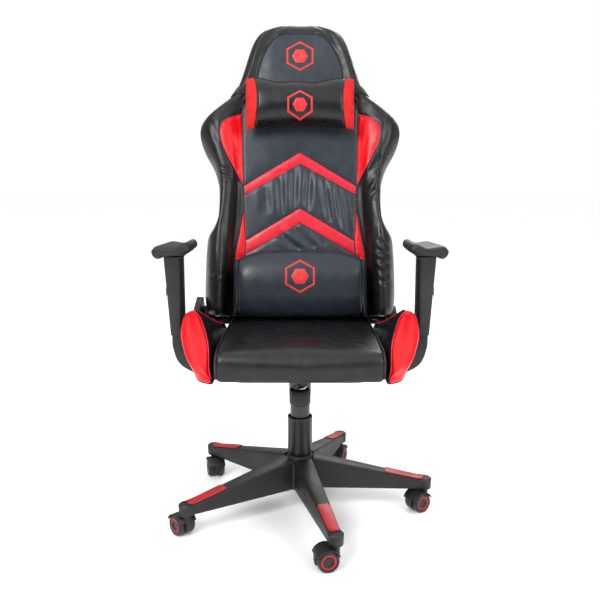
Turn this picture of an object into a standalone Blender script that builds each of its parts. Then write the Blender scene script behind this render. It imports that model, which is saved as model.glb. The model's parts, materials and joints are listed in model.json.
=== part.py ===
"""Racing-style gaming chair: five-star base on casters, gas lift, tilt mechanism, padded seat with side wings,
reclining backrest with head and lumbar pillows, and height-adjustable armrests.

Metres, +Z up. The sitter faces -Y, so left is +X. Shapes are drawn with the lift column on the Z axis, and the
whole chair is then moved along Y by COLUMN_Y, which puts the middle of its bounding box over the origin.
"""

import math

import bmesh
import bpy
from mathutils import Matrix, Vector

# ---------------------------------------------------------------- driving dimensions
COLUMN_Y = -0.007
GAP = 0.0003  # between pieces that touch
RUNNING_GAP = 0.0005  # between pieces that slide or turn on each other
ROUND = 16  # sides of a round piece

# Star base
BASE_RADIUS = 0.320  # lift column to caster stem
BASE_ARMS = 5
FIRST_ARM_ANGLE = math.radians(-3.8)
WHEEL_RADIUS = 0.025
ARM_BOTTOM = 2 * WHEEL_RADIUS + 0.0075  # clear of the casters' hoods
ARM_TIP_TOP = ARM_BOTTOM + 0.027
ARM_TIP_LIP = 0.0006  # the tip's boss ends this far below the arm's top
ARM_ROOT_TOP = ARM_BOTTOM + 0.0795
ARM_WALL = 0.0045
BOSS_DROP = 0.0012  # the hub and the tips' bosses reach this far below the arms
ARM_TIP_RADIUS = 0.0185
ARM_ROOT_WIDTH = 0.050
ARM_TIP_WIDTH = 0.031
LIFT_TUBE_RADIUS = 0.025
HUB_RADIUS = LIFT_TUBE_RADIUS + 0.0115
HUB_ROOT_RADIUS = HUB_RADIUS + 0.008  # where the arms leave the hub; no two arms meet outside it
HUB_TOP = ARM_ROOT_TOP + 0.004
TRIM_LENGTH = 0.098
TRIM_THICKNESS = 0.0024

# Casters
WHEEL_WIDTH = 0.017
CASTER_TRAIL = 0.021  # stem axis to axle
AXLE_RADIUS = 0.0035
CASTER_WEB = 0.012
HOOD_WALL = 0.0028
HOOD_SIDES = 16
HOOD_HEADROOM = 0.0006  # between the hood's boss and the arm's tip
STEM_RADIUS = 0.0055
PINTLE_RADIUS = 0.004  # the stem's lower end, which the hood turns on
CASTER_HEADINGS = (215, 250, 285, 130, 195)  # degrees, from each stem to its axle

# Gas lift and its covers
LIFT_TUBE_TOP = 0.300
CYLINDER_RADIUS = 0.014
LIFT_DOWN = 0.045
LIFT_UP = 0.040
LOWER_COVER_RADIUS = LIFT_TUBE_RADIUS + 0.0067
LOWER_COVER_HEIGHT = 0.102
UPPER_COVER_RADIUS = LIFT_TUBE_RADIUS + 0.0035
UPPER_COVER_HEIGHT = 0.062
COVER_WALL = 0.0018

# Tilt mechanism
MECHANISM_BOTTOM = 0.350
CYLINDER_TOP = 0.0215  # how far the cylinder's taper reaches into the mechanism
PIN_STANDOUT = 0.0257  # top of the release pin over the mechanism's bottom
TILT_RANGE = math.radians(12)
TILT_AXIS_Y = -0.050
TILT_AXIS_Z = 0.378
HOUSING_HALF_WIDTH = 0.045
HOUSING_FRONT = -0.072
HOUSING_REAR = 0.058
KNOB_Y = -0.100
KNOB_RADIUS = 0.0255
KNOB_TOP = 0.345
KNOB_HEIGHT = 0.038
BOLT_RADIUS = 0.005
SEAT_PLATE_TOP = 0.4017
SEAT_PLATE_THICKNESS = 0.004
SEAT_PLATE_HALF_WIDTH = 0.095
LEVER_RADIUS = 0.005
LEVER_Y = 0.016
LEVER_PIVOT = 0.034  # from the release pin to the lever's hinge
LEVER_REACH = 0.212
LEVER_END_DROOP = 6  # degrees; keeps the paddle under the wing when the seat is tipped back

# Seat
SEAT_HALF_WIDTH = 0.188
SEAT_FRONT = -0.270
SEAT_REAR = 0.150
SEAT_BOTTOM = 0.408
SEAT_THICKNESS = 0.070
FRAME_TUBE_RADIUS = 0.011
SEAT_RAIL_X = SEAT_HALF_WIDTH - 0.023
SEAT_RAIL_FRONT = -0.235
SEAT_RAIL_REAR = 0.135
WING_HEIGHT = 0.131  # wing bottom to its highest point
WING_LEAN = 0.088  # how far the wing reaches out past the seat cushion

# Backrest
RECLINE_Y = 0.168
RECLINE_Z = 0.455
BACK_LEAN = math.radians(12.5)
BACK_HEIGHT = 0.803
BACK_BOTTOM = 0.0125
BACK_REAR_DEPTH = 0.030
PANEL_SPLIT = 0.004  # how far behind the back's middle plane the rear panel starts
HINGE_X = 0.2290  # inner face of the recliner plates
PLATE_THICKNESS = 0.004
HINGE_HEAD_RADIUS = 0.034
HINGE_COVER_RADIUS = 0.040
HINGE_COVER_WIDTH = 0.0215
PIVOT_RADIUS = 0.006
HIP_CLEARANCE = 0.004

# Pillows
LUMBAR_SIZE = (0.344, 0.090, 0.190)
LUMBAR_CENTRE_HEIGHT = 0.097
HEAD_PILLOW_SIZE = (0.282, 0.080, 0.143)
HEAD_PILLOW_HEIGHT = 0.568
STRAP_WIDTH = 0.024
STRAP_THICKNESS = 0.0014
STRAP_CLEARANCE = 0.0012
STRAP_ABOVE_PILLOW_CENTRE = 0.040

# Armrests
POST_Y = -0.045
POST_INNER_X = 0.281
BRACKET_WIDTH = 0.056  # along Y
BRACKET_LEG_BOTTOM = 0.372
BRACKET_LEG_THICKNESS = 0.0255
BRACKET_LEG_INNER_X = 0.118
BRACKET_POST_THICKNESS = 0.027
SLEEVE_BOTTOM = 0.470
SLEEVE_TOP = 0.660
SLEEVE_BOTTOM_WIDTH = 0.031
SLEEVE_TOP_WIDTH = 0.0425
SLEEVE_DEPTH = 0.060
TONGUE_THICKNESS = 0.019
TONGUE_DEPTH = 0.040
TONGUE_TOP = 0.590
ARM_TRAVEL = 0.070
BUTTON_TRAVEL = 0.004
PAD_LENGTH = 0.240
PAD_SLOPE = math.radians(3.5)
PAD_INNER_LOBE = (0.258, 0.0125)  # centre X and radius
PAD_OUTER_LOBE = (0.319, 0.0155)
PAD_LOBE_RISE = 0.004
PAD_CENTRE_Z = 0.679
PAD_WEB = 0.0085  # half thickness between the lobes

# ---------------------------------------------------------------- colours: sRGB, roughness, metallic
FINISHES = {
    "nylon_black": ((0.045, 0.045, 0.048), 0.55, 0.0),
    "nylon_red": ((0.62, 0.05, 0.06), 0.40, 0.0),
    "steel_black": ((0.05, 0.05, 0.05), 0.45, 0.6),
    "steel_bright": ((0.72, 0.72, 0.74), 0.28, 1.0),
    "leather_black": ((0.06, 0.06, 0.065), 0.38, 0.0),
    "leather_slate": ((0.16, 0.18, 0.20), 0.42, 0.0),
    "leather_red": ((0.85, 0.04, 0.07), 0.40, 0.0),
    "elastic_black": ((0.05, 0.05, 0.05), 0.85, 0.0),
    "wheel_polymer": ((0.05, 0.05, 0.05), 0.45, 0.0),
    "acetal_white": ((0.80, 0.80, 0.78), 0.40, 0.0),
    "pu_black": ((0.05, 0.05, 0.052), 0.60, 0.0),
}


# ---------------------------------------------------------------- scene and placing
def clear_scene():
    for obj in list(bpy.data.objects):
        bpy.data.objects.remove(obj, do_unlink=True)


def new_collection(name, hidden=False):
    collection = bpy.data.collections.new(name)
    bpy.context.scene.collection.children.link(collection)
    collection.hide_render = hidden
    return collection


def linear(value):
    return value / 12.92 if value <= 0.04045 else ((value + 0.055) / 1.055) ** 2.4


def finish(name, finish_name):
    colour, roughness, metallic = FINISHES[finish_name]
    material = bpy.data.materials.new(name + "_" + finish_name)
    material.use_nodes = True
    shader = material.node_tree.nodes["Principled BSDF"]
    shader.inputs["Base Color"].default_value = tuple(linear(c) for c in colour) + (1.0,)
    shader.inputs["Roughness"].default_value = roughness
    shader.inputs["Metallic"].default_value = metallic
    return material


def empty(name, location, parent=None, rotation=(0.0, 0.0, 0.0)):
    """An empty on a joint's axis. Location is in the parent's frame."""
    pivot = bpy.data.objects.new(name, None)
    pivot.empty_display_size = 0.03
    pivot.location = location
    pivot.rotation_euler = rotation
    pivot.parent = parent
    PARTS.objects.link(pivot)
    return pivot


def place(obj, pivot, own_frame=False):
    """Parents obj to a joint's empty. A piece drawn in the column's frame keeps its place; one drawn in the
    joint's own frame moves with it."""
    obj.parent = pivot
    if own_frame:
        return obj
    offset = Vector((0.0, 0.0, 0.0))
    walk = pivot
    while walk is not None and walk is not CHAIR:
        offset += Vector(walk.location)
        walk = walk.parent
    obj.location = -offset
    return obj


def part(name, mesh, finish_name, pivot, own_frame=False, smooth_angle=35):
    obj = bpy.data.objects.new(name, mesh)
    PARTS.objects.link(obj)
    mesh.materials.clear()
    mesh.materials.append(finish(name, finish_name))
    mesh.shade_smooth()
    mesh.set_sharp_from_angle(angle=math.radians(smooth_angle))
    return place(obj, pivot, own_frame)


def cutter(name, mesh, pivot, own_frame=False):
    obj = bpy.data.objects.new(name, mesh)
    CUTTERS.objects.link(obj)
    obj.hide_render = True
    obj.display_type = "WIRE"
    return place(obj, pivot, own_frame)


def boolean(obj, other, operation):
    modifier = obj.modifiers.new(operation.lower() + "_" + other.name, "BOOLEAN")
    modifier.operation = operation
    modifier.object = other
    modifier.solver = "EXACT"


def cut(obj, mesh, pivot, own_frame=False):
    boolean(obj, cutter("cut_" + obj.name, mesh, pivot, own_frame), "DIFFERENCE")


def join(obj, mesh, pivot, own_frame=False):
    boolean(obj, cutter("add_" + obj.name, mesh, pivot, own_frame), "UNION")


# ---------------------------------------------------------------- shapes
def mesh_from(bm, name="shape"):
    mesh = bpy.data.meshes.new(name)
    bm.normal_update()
    bm.to_mesh(mesh)
    bm.free()
    return mesh


def box(low, high, bevel=0.0, segments=2):
    """A box from its lowest to its highest corner, with all edges rounded by bevel."""
    bm = bmesh.new()
    size = [h - l for l, h in zip(low, high)]
    middle = [(h + l) / 2 for l, h in zip(low, high)]
    matrix = Matrix.Translation(middle) @ Matrix.Diagonal(size + [1.0])
    bmesh.ops.create_cube(bm, size=1.0, matrix=matrix)
    if bevel:
        bmesh.ops.bevel(bm, geom=bm.edges[:], offset=bevel, segments=segments, profile=0.5, affect="EDGES")
    return mesh_from(bm)


def rod(start, end, radius, sides=20, end_radius=None):
    """A cylinder or cone between two points."""
    start = Vector(start)
    end = Vector(end)
    turn = (end - start).to_track_quat("Z", "Y").to_matrix().to_4x4()
    matrix = Matrix.Translation((start + end) / 2) @ turn
    bm = bmesh.new()
    bmesh.ops.create_cone(
        bm,
        cap_ends=True,
        segments=sides,
        radius1=radius,
        radius2=radius if end_radius is None else end_radius,
        depth=(end - start).length,
        matrix=matrix,
    )
    return mesh_from(bm)


def turned(profile, steps=28, closed=False):
    """Spins (radius, height) points about Z. They run down the outer side, from top to bottom."""
    mesh = bpy.data.meshes.new("profile")
    edges = [(i, i + 1) for i in range(len(profile) - 1)]
    if closed:
        edges.append((len(profile) - 1, 0))
    mesh.from_pydata([(r, 0.0, z) for r, z in profile], edges, [])
    holder = bpy.data.objects.new("profile", mesh)
    CUTTERS.objects.link(holder)
    screw = holder.modifiers.new("Screw", "SCREW")
    screw.steps = steps
    screw.render_steps = steps
    screw.use_merge_vertices = True
    screw.merge_threshold = 0.00001
    screw.use_smooth_shade = True
    return realised(holder)


def realised(holder):
    """The mesh that an object's modifiers or curve give, welded. The object itself is removed."""
    bpy.context.view_layer.update()
    graph = bpy.context.evaluated_depsgraph_get()
    mesh = bpy.data.meshes.new_from_object(holder.evaluated_get(graph))
    bpy.data.objects.remove(holder, do_unlink=True)
    bm = bmesh.new()
    bm.from_mesh(mesh)
    bmesh.ops.remove_doubles(bm, verts=bm.verts, dist=0.000005)
    bm.to_mesh(mesh)
    bm.free()
    return mesh


def combined(mesh, steps):
    """The mesh after a row of Booleans. Each step is an operation and the mesh that it takes."""
    holder = bpy.data.objects.new("combined", mesh)
    CUTTERS.objects.link(holder)
    tools = []
    for operation, other_mesh in steps:
        other = bpy.data.objects.new("tool", other_mesh)
        CUTTERS.objects.link(other)
        boolean(holder, other, operation)
        tools.append(other)
    result = realised(holder)
    for other in tools:
        bpy.data.objects.remove(other, do_unlink=True)
    return result


def outline(points, thickness, axis="X", at=0.0, cyclic_hole=None):
    """A flat outline given thickness along axis, centred at `at`. For axis X the points are (y, z), for Y they
    are (x, z) and for Z they are (x, y)."""
    curve = bpy.data.curves.new("outline", "CURVE")
    curve.dimensions = "2D"
    curve.fill_mode = "BOTH"
    curve.extrude = thickness / 2
    for loop in [points] + ([cyclic_hole] if cyclic_hole else []):
        spline = curve.splines.new("POLY")
        spline.points.add(len(loop) - 1)
        for spline_point, (u, v) in zip(spline.points, loop):
            spline_point.co = (u, v, 0.0, 1.0)
        spline.use_cyclic_u = True
    holder = bpy.data.objects.new("outline", curve)
    CUTTERS.objects.link(holder)
    mesh = realised(holder)
    turns = {
        "X": Matrix(((0, 0, 1, at), (1, 0, 0, 0), (0, 1, 0, 0), (0, 0, 0, 1))),
        "Y": Matrix(((1, 0, 0, 0), (0, 0, -1, at), (0, 1, 0, 0), (0, 0, 0, 1))),
        "Z": Matrix(((1, 0, 0, 0), (0, 1, 0, 0), (0, 0, 1, at), (0, 0, 0, 1))),
    }
    mesh.transform(turns[axis])
    return mesh


def tube(points, radius, cyclic=False, resolution=1):
    """A round bar or tube along points, with closed ends."""
    curve = bpy.data.curves.new("tube", "CURVE")
    curve.dimensions = "3D"
    curve.bevel_depth = radius
    curve.bevel_resolution = resolution
    curve.use_fill_caps = not cyclic
    spline = curve.splines.new("POLY")
    spline.points.add(len(points) - 1)
    for spline_point, point in zip(spline.points, points):
        spline_point.co = (point[0], point[1], point[2], 1.0)
    spline.use_cyclic_u = cyclic
    holder = bpy.data.objects.new("tube", curve)
    CUTTERS.objects.link(holder)
    return realised(holder)


def rounded(points, radius, steps=4):
    """A polygon's points with each corner replaced by an arc. Radius is one number or one for each corner."""
    result = []
    count = len(points)
    for i, corner in enumerate(points):
        r = radius[i] if isinstance(radius, (list, tuple)) else radius
        here = Vector(corner)
        back = (Vector(points[i - 1]) - here).normalized()
        ahead = (Vector(points[(i + 1) % count]) - here).normalized()
        half = math.acos(max(-1.0, min(1.0, back.dot(ahead)))) / 2
        if r <= 0.0 or half > math.pi / 2 - 0.02:
            result.append((here.x, here.y))
            continue
        centre = here + (back + ahead).normalized() * (r / math.sin(half))
        start = here + back * (r / math.tan(half)) - centre
        end = here + ahead * (r / math.tan(half)) - centre
        sweep = start.angle_signed(end)
        for k in range(steps + 1):
            turn = Matrix.Rotation(-sweep * k / steps, 2)
            point = centre + turn @ start
            result.append((point.x, point.y))
    return result


def spline_value(keys, t):
    """Catmull-Rom through (t, value) keys; value is a number or a tuple."""
    if t <= keys[0][0]:
        return keys[0][1]
    if t >= keys[-1][0]:
        return keys[-1][1]
    i = max(k for k in range(len(keys) - 1) if keys[k][0] <= t)
    (t1, v1), (t2, v2) = keys[i], keys[i + 1]
    t0, v0 = keys[i - 1] if i > 0 else (2 * t1 - t2, v1)
    t3, v3 = keys[i + 2] if i + 2 < len(keys) else (2 * t2 - t1, v2)
    u = (t - t1) / (t2 - t1)

    def blend(a, b, c, d):
        span = t2 - t1
        m1 = (c - a) / (t2 - t0) * span
        m2 = (d - b) / (t3 - t1) * span
        cubic = (2 * u**3 - 3 * u**2 + 1) * b + (u**3 - 2 * u**2 + u) * m1
        return cubic + (3 * u**2 - 2 * u**3) * c + (u**3 - u**2) * m2

    if isinstance(v1, tuple):
        return tuple(blend(*values) for values in zip(v0, v1, v2, v3))
    return blend(v0, v1, v2, v3)


def smooth_ring(points, count, closed=True):
    """Evenly indexed points on a smooth closed curve through the given ones."""
    n = len(points)
    extended = [(k, tuple(points[k % n])) for k in range(-2, n + 3)]
    return [spline_value(extended, n * k / count) for k in range(count)]


def loft(rings):
    """Skins a row of equal closed rings and caps both ends. Each ring is a list of 3D points."""
    bm = bmesh.new()
    rows = [[bm.verts.new(point) for point in ring] for ring in rings]
    count = len(rings[0])
    for low, high in zip(rows, rows[1:]):
        for k in range(count):
            n = (k + 1) % count
            bm.faces.new((low[k], low[n], high[n], high[k]))
    bm.faces.new(rows[0][::-1])
    bm.faces.new(rows[-1])
    bm.normal_update()
    bmesh.ops.recalc_face_normals(bm, faces=bm.faces[:])
    return mesh_from(bm)


def pillow(size, centre, sides=20, rows=8, squareness=0.55):
    """A stuffed cushion: a sphere pushed out towards its box, so that its edges are thin and its middle full."""
    bm = bmesh.new()
    bmesh.ops.create_uvsphere(bm, u_segments=sides, v_segments=rows, radius=1.0)
    for vert in bm.verts:
        x, z, y = vert.co
        reach = max(abs(x) ** 4 + abs(z) ** 4, 1e-9) ** 0.25
        flat = min(1.0, math.hypot(x, z))
        scale = (flat ** squareness) / reach
        u = x * scale if flat > 1e-6 else 0.0
        v = z * scale if flat > 1e-6 else 0.0
        depth = math.copysign(abs(y) ** 0.8, y)
        vert.co = (centre[0] + u * size[0] / 2, centre[1] + depth * size[1] / 2, centre[2] + v * size[2] / 2)
    bm.normal_update()
    bmesh.ops.recalc_face_normals(bm, faces=bm.faces[:])
    return mesh_from(bm)


# ---------------------------------------------------------------- star base
def arm_matrix(index):
    angle = FIRST_ARM_ANGLE + index * 2 * math.pi / BASE_ARMS
    return Matrix.Rotation(angle, 4, "Z")


def arm_top(radius):
    """Height of an arm's upper face at a distance from the column."""
    flat_from = BASE_RADIUS - ARM_TIP_RADIUS
    if radius >= flat_from:
        return ARM_TIP_TOP
    share = (radius - HUB_RADIUS) / (flat_from - HUB_RADIUS)
    return ARM_ROOT_TOP + (ARM_TIP_TOP - ARM_ROOT_TOP) * share


def arm_half_width(radius):
    share = radius / BASE_RADIUS
    return (ARM_ROOT_WIDTH + (ARM_TIP_WIDTH - ARM_ROOT_WIDTH) * share) / 2


def tapered_arm(start, end, inset=0.0, bottom=ARM_BOTTOM):
    """One arm along +X as a loft of rounded sections; inset shrinks it for the hollow underneath."""
    bend = BASE_RADIUS - ARM_TIP_RADIUS
    rings = []
    for x in sorted({start, (start + end) / 2, min(bend, end), end}):
        half = arm_half_width(x) - inset
        top = arm_top(x) - inset
        rings.append([(x, y, z) for y, z in rounded([(-half, bottom), (half, bottom), (half, top), (-half, top)],
                                                    [0.0015, 0.0015, 0.005, 0.005], 2)])
    return loft(rings)


def arm_mesh():
    """One arm along +X with the caster's boss at its tip, hollow underneath like the moulding it is."""
    boss_top = ARM_TIP_TOP - ARM_TIP_LIP
    boss_bottom = ARM_BOTTOM - BOSS_DROP
    r = ARM_TIP_RADIUS
    boss = turned([(0.0, boss_top), (r - 0.003, boss_top), (r, boss_top - 0.003), (r - 0.001, boss_bottom),
                   (0.0, boss_bottom)], 16)
    socket = rod((0, 0, boss_bottom - 0.003), (0, 0, ARM_TIP_TOP - 0.0045), STEM_RADIUS + GAP, 12)
    for mesh in (boss, socket):
        mesh.transform(Matrix.Translation((BASE_RADIUS, 0, 0)))
    hollow = tapered_arm(HUB_ROOT_RADIUS + 0.0065, BASE_RADIUS - r - 0.0075, ARM_WALL, ARM_BOTTOM - 0.004)
    return combined(tapered_arm(HUB_ROOT_RADIUS - 0.0085, BASE_RADIUS),
                    (("UNION", boss), ("DIFFERENCE", hollow), ("DIFFERENCE", socket)))


def add_star_base(body):
    root = HUB_ROOT_RADIUS
    low = ARM_BOTTOM - BOSS_DROP
    hub = turned([(0.0, HUB_TOP), (LIFT_TUBE_RADIUS + 0.005, HUB_TOP), (HUB_RADIUS, HUB_TOP - 0.008), (root, HUB_TOP - 0.015),
                  (root, ARM_BOTTOM + 0.003), (root - 0.003, low), (0.0, low)], 24)
    base = part("star_base", hub, "nylon_black", body)
    arm = arm_mesh()
    for k in range(BASE_ARMS):
        copy = arm.copy()
        copy.transform(arm_matrix(k))
        join(base, copy, body)
    cut(base, rod((0, 0, 0.04), (0, 0, HUB_TOP + 0.01), LIFT_TUBE_RADIUS + GAP, ROUND), body)


def add_arm_trims(body):
    end = BASE_RADIUS - 0.003
    start = end - TRIM_LENGTH
    for k in range(BASE_ARMS):
        rings = []
        for x in (start, start + 0.006, BASE_RADIUS - ARM_TIP_RADIUS, end - 0.006, end):
            at_end = x in (start, end)
            half = arm_half_width(x) - 0.0025 - (0.004 if at_end else 0.0)
            low = arm_top(x) + GAP
            high = low + TRIM_THICKNESS
            section = rounded([(-half, low), (half, low), (half, high), (-half, high)], [0.0, 0.0, 0.0012, 0.0012], 1)
            rings.append([(x, y, z) for y, z in section])
        trim = loft(rings)
        trim.transform(arm_matrix(k))
        part("arm_trim_%d" % (k + 1), trim, "nylon_red", body)


def add_lift_base(body):
    outer, inner = LIFT_TUBE_RADIUS, LIFT_TUBE_RADIUS - 0.0025
    foot = ARM_BOTTOM - 0.0075
    tube_mesh = turned([(outer - 0.001, LIFT_TUBE_TOP), (outer, LIFT_TUBE_TOP - 0.001), (outer, foot + 0.002),
                        (outer - 0.003, foot), (0.006, foot), (0.006, foot + 0.005), (inner, foot + 0.005),
                        (inner, LIFT_TUBE_TOP)], ROUND, closed=True)
    part("lift_outer_tube", tube_mesh, "steel_black", body)
    bush_outer = inner - GAP
    bush_inner = CYLINDER_RADIUS + RUNNING_GAP
    bush = turned([(bush_outer, LIFT_TUBE_TOP - 0.001), (bush_outer, LIFT_TUBE_TOP - 0.070),
                   (bush_inner, LIFT_TUBE_TOP - 0.070), (bush_inner, LIFT_TUBE_TOP - 0.001)], ROUND, closed=True)
    part("lift_guide_bush", bush, "acetal_white", body)
    low = HUB_TOP + GAP
    high = low + LOWER_COVER_HEIGHT
    r = LOWER_COVER_RADIUS
    cover = turned([(r - COVER_WALL, high), (r - 0.0006, high), (r, high - 0.003), (r, low + 0.006),
                    (r - 0.004, low), (r - 0.004 - COVER_WALL, low), (r - COVER_WALL, low + 0.008)], ROUND, closed=True)
    part("dust_cover_lower", cover, "nylon_black", body)


# ---------------------------------------------------------------- casters
def hood_mesh():
    """One caster's hood in its own frame: stem on the Z axis, axle at +X. A web between the wheels carries a
    curved guard over them."""
    trail, axle = CASTER_TRAIL, WHEEL_RADIUS
    clear = WHEEL_RADIUS + 0.0012
    outer = clear + HOOD_WALL
    half = CASTER_WEB / 2 + WHEEL_WIDTH + 0.0008
    web = CASTER_WEB / 2 - 0.0004
    boss_top = ARM_BOTTOM - BOSS_DROP - HOOD_HEADROOM
    skirt = 0.35  # the guard ends this share of its radius above the axle
    arc = [math.radians(a) for a in range(21, 160, 12)]
    room = [(trail + 0.04, -0.01), (trail + 0.04, axle + clear * skirt)]
    room += [(trail + clear * math.cos(a), axle + clear * math.sin(a)) for a in arc]
    room += [(trail - 0.04, axle + clear * skirt), (trail - 0.04, -0.01)]
    return combined(rod((trail, -half, axle), (trail, half, axle), outer, HOOD_SIDES), (
        ("UNION", rod((0, 0, axle - 0.003), (0, 0, boss_top), 0.0098, 16)),
        ("DIFFERENCE", outline(room, 0.04, "Y", web + 0.02)),
        ("DIFFERENCE", outline(room, 0.04, "Y", -web - 0.02)),
        ("DIFFERENCE", box((trail - 0.05, -0.05, -0.02), (trail + 0.05, 0.05, axle - 0.0115))),
        ("DIFFERENCE", rod((trail, -0.01, axle), (trail, 0.01, axle), AXLE_RADIUS + RUNNING_GAP, 12)),
        ("DIFFERENCE", rod((0, 0, axle + 0.005), (0, 0, boss_top + 0.01), PINTLE_RADIUS + RUNNING_GAP, 12)),
    ))


def wheels_mesh():
    """A pair of wheels pressed on one axle, turned about the axle at the origin along Y."""
    face = CASTER_WEB / 2 + WHEEL_WIDTH
    inner = CASTER_WEB / 2
    r = WHEEL_RADIUS
    side = [(0.0, face - 0.002), (r - 0.008, face - 0.002), (r - 0.0065, face), (r - 0.003, face),
            (r, face - 0.003), (r, inner), (AXLE_RADIUS, inner)]
    profile = side + [(radius, -height) for radius, height in reversed(side)]
    mesh = turned(profile, ROUND)
    mesh.transform(Matrix.Rotation(math.radians(-90), 4, "X"))
    return mesh


def add_casters(base):
    hood = hood_mesh()
    wheels = wheels_mesh()
    for k in range(BASE_ARMS):
        number = k + 1
        stem_at = arm_matrix(k) @ Vector((BASE_RADIUS, 0, 0))
        step = ARM_BOTTOM - 0.0008
        pintle_end = WHEEL_RADIUS + 0.0065  # inside the hood's boss, over the axle
        stem = turned([(0.0, ARM_TIP_TOP - 0.006), (STEM_RADIUS - 0.001, ARM_TIP_TOP - 0.006),
                       (STEM_RADIUS, ARM_TIP_TOP - 0.008), (STEM_RADIUS, step), (PINTLE_RADIUS, step),
                       (PINTLE_RADIUS, pintle_end), (0.0, pintle_end)], 12)
        stem.transform(Matrix.Translation(stem_at))
        part("caster_%d_stem" % number, stem, "steel_bright", base)
        heading = math.radians(CASTER_HEADINGS[k])
        swivel = empty("caster_%d_swivel" % number, stem_at, CHAIR, (0.0, 0.0, heading))
        axle = empty("caster_%d_axle" % number, (CASTER_TRAIL, 0.0, WHEEL_RADIUS), swivel)
        part("caster_%d_hood" % number, hood.copy(), "nylon_black", swivel, own_frame=True)
        part("caster_%d_wheels" % number, wheels.copy(), "wheel_polymer", axle, own_frame=True)


# ---------------------------------------------------------------- lift column and tilt mechanism
def add_lift(piston, lift, release):
    rod_top = 0.245
    collar = ARM_BOTTOM - 0.0019  # stands on the outer tube's floor
    piston_mesh = turned([(0.0, rod_top), (0.005, rod_top), (0.005, collar + 0.0129), (0.0115, collar + 0.0129),
                          (0.0115, collar), (0.0045, collar), (0.0045, collar - 0.0096),
                          (0.0, collar - 0.0096)], 12)
    part("lift_rod", piston_mesh, "steel_bright", piston)
    low = 0.128
    top = MECHANISM_BOTTOM + CYLINDER_TOP
    taper = CYLINDER_RADIUS - 0.0012
    cylinder = turned([(taper, top), (CYLINDER_RADIUS, MECHANISM_BOTTOM - 0.006), (CYLINDER_RADIUS, low),
                       (0.005 + RUNNING_GAP, low), (0.005 + RUNNING_GAP, rod_top + 0.052),
                       (0.0033, rod_top + 0.052), (0.0033, top)], ROUND, closed=True)
    part("lift_cylinder", cylinder, "steel_black", lift)
    pin_top = MECHANISM_BOTTOM + PIN_STANDOUT
    pin = turned([(0.0, pin_top), (0.0022, pin_top), (0.003, pin_top - 0.0008), (0.003, top - 0.030),
                  (0.0, top - 0.030)], 10)
    part("lift_release_pin", pin, "steel_bright", release)
    high = MECHANISM_BOTTOM - GAP
    bottom = high - UPPER_COVER_HEIGHT
    r = UPPER_COVER_RADIUS
    lip = CYLINDER_RADIUS + RUNNING_GAP
    cover = turned([(lip, high), (r - 0.002, high), (r, high - 0.002), (r, bottom), (r - COVER_WALL, bottom),
                    (r - COVER_WALL, high - COVER_WALL - 0.001), (lip, high - COVER_WALL - 0.001)], ROUND, closed=True)
    part("dust_cover_upper", cover, "nylon_black", lift)


def add_tilt_housing(lift):
    """Pressed-steel box on the lift: its top falls away behind the tilt axis so that the seat plate can rock."""
    top = TILT_AXIS_Z + 0.008
    drop = (HOUSING_REAR - TILT_AXIS_Y) * math.tan(TILT_RANGE)
    side = [(HOUSING_FRONT, MECHANISM_BOTTOM + 0.008), (HOUSING_FRONT + 0.02, MECHANISM_BOTTOM),
            (HOUSING_REAR, MECHANISM_BOTTOM), (HOUSING_REAR, top - drop), (TILT_AXIS_Y, top),
            (HOUSING_FRONT, top)]
    housing = part("tilt_housing", outline(side, 2 * HOUSING_HALF_WIDTH), "steel_black", lift)
    wall = 0.0035
    inner_half = HOUSING_HALF_WIDTH - wall
    cut(housing, box((-inner_half, HOUSING_FRONT + wall, MECHANISM_BOTTOM + wall),
                     (inner_half, HOUSING_REAR - wall, top + 0.02)), lift)
    nose = box((-0.024, KNOB_Y - 0.022, KNOB_TOP + 0.020), (0.024, HOUSING_FRONT + 0.001, KNOB_TOP + 0.026))
    join(housing, nose, lift)
    socket_top = MECHANISM_BOTTOM + CYLINDER_TOP
    socket = turned([(0.0, socket_top), (0.0205, socket_top),
                     (0.0215, MECHANISM_BOTTOM + 0.001), (0.0, MECHANISM_BOTTOM + 0.001)], ROUND)
    join(housing, socket, lift)
    taper_hole = rod((0, 0, MECHANISM_BOTTOM - 0.006), (0, 0, socket_top + 0.001),
                     CYLINDER_RADIUS + GAP, ROUND, CYLINDER_RADIUS - 0.0012 + GAP)
    cut(housing, taper_hole, lift)
    cut(housing, rod((0, KNOB_Y - 0.0035, KNOB_TOP), (0, KNOB_Y - 0.0035, KNOB_TOP + 0.04),
                     BOLT_RADIUS + 0.0055, 14), lift)
    axis = (TILT_AXIS_Y, TILT_AXIS_Z)
    cut(housing, rod((-0.06, *axis), (0.06, *axis), 0.005 + GAP, 16), lift)
    lever_z = MECHANISM_BOTTOM + 0.016
    cut(housing, box((-0.06, -0.009, lever_z - 0.010), (-0.030, 0.019, lever_z + 0.016)), lift)
    half = HOUSING_HALF_WIDTH
    pin = rod((-half - 0.0065, *axis), (half + 0.0065, *axis), 0.005, 16)
    pivot = part("tilt_pivot_pin", pin, "steel_bright", lift)
    for side_x in (-1, 1):
        join(pivot, rod((side_x * (half + 0.0057), *axis), (side_x * (half + 0.0087), *axis), 0.008, 16), lift)


def lever_path():
    """The height lever's rod: it lies on the release pin, dips under the seat plate and runs out to the right."""
    pin_top = MECHANISM_BOTTOM + PIN_STANDOUT
    z = pin_top + LEVER_RADIUS + RUNNING_GAP
    path = [(0.006, 0.0, z)]
    x = 0.006
    for step, y, droop in ((0.006 + LEVER_PIVOT, 0.002, 3), (0.026, 0.006, 10), (0.025, LEVER_Y - 0.004, 10),
                           (0.020, LEVER_Y, 8),
                           (LEVER_REACH - LEVER_PIVOT - 0.111, LEVER_Y, LEVER_END_DROOP)):
        x -= step
        z -= step * math.tan(math.radians(droop))
        path.append((x, y, z))
    return path


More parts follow.
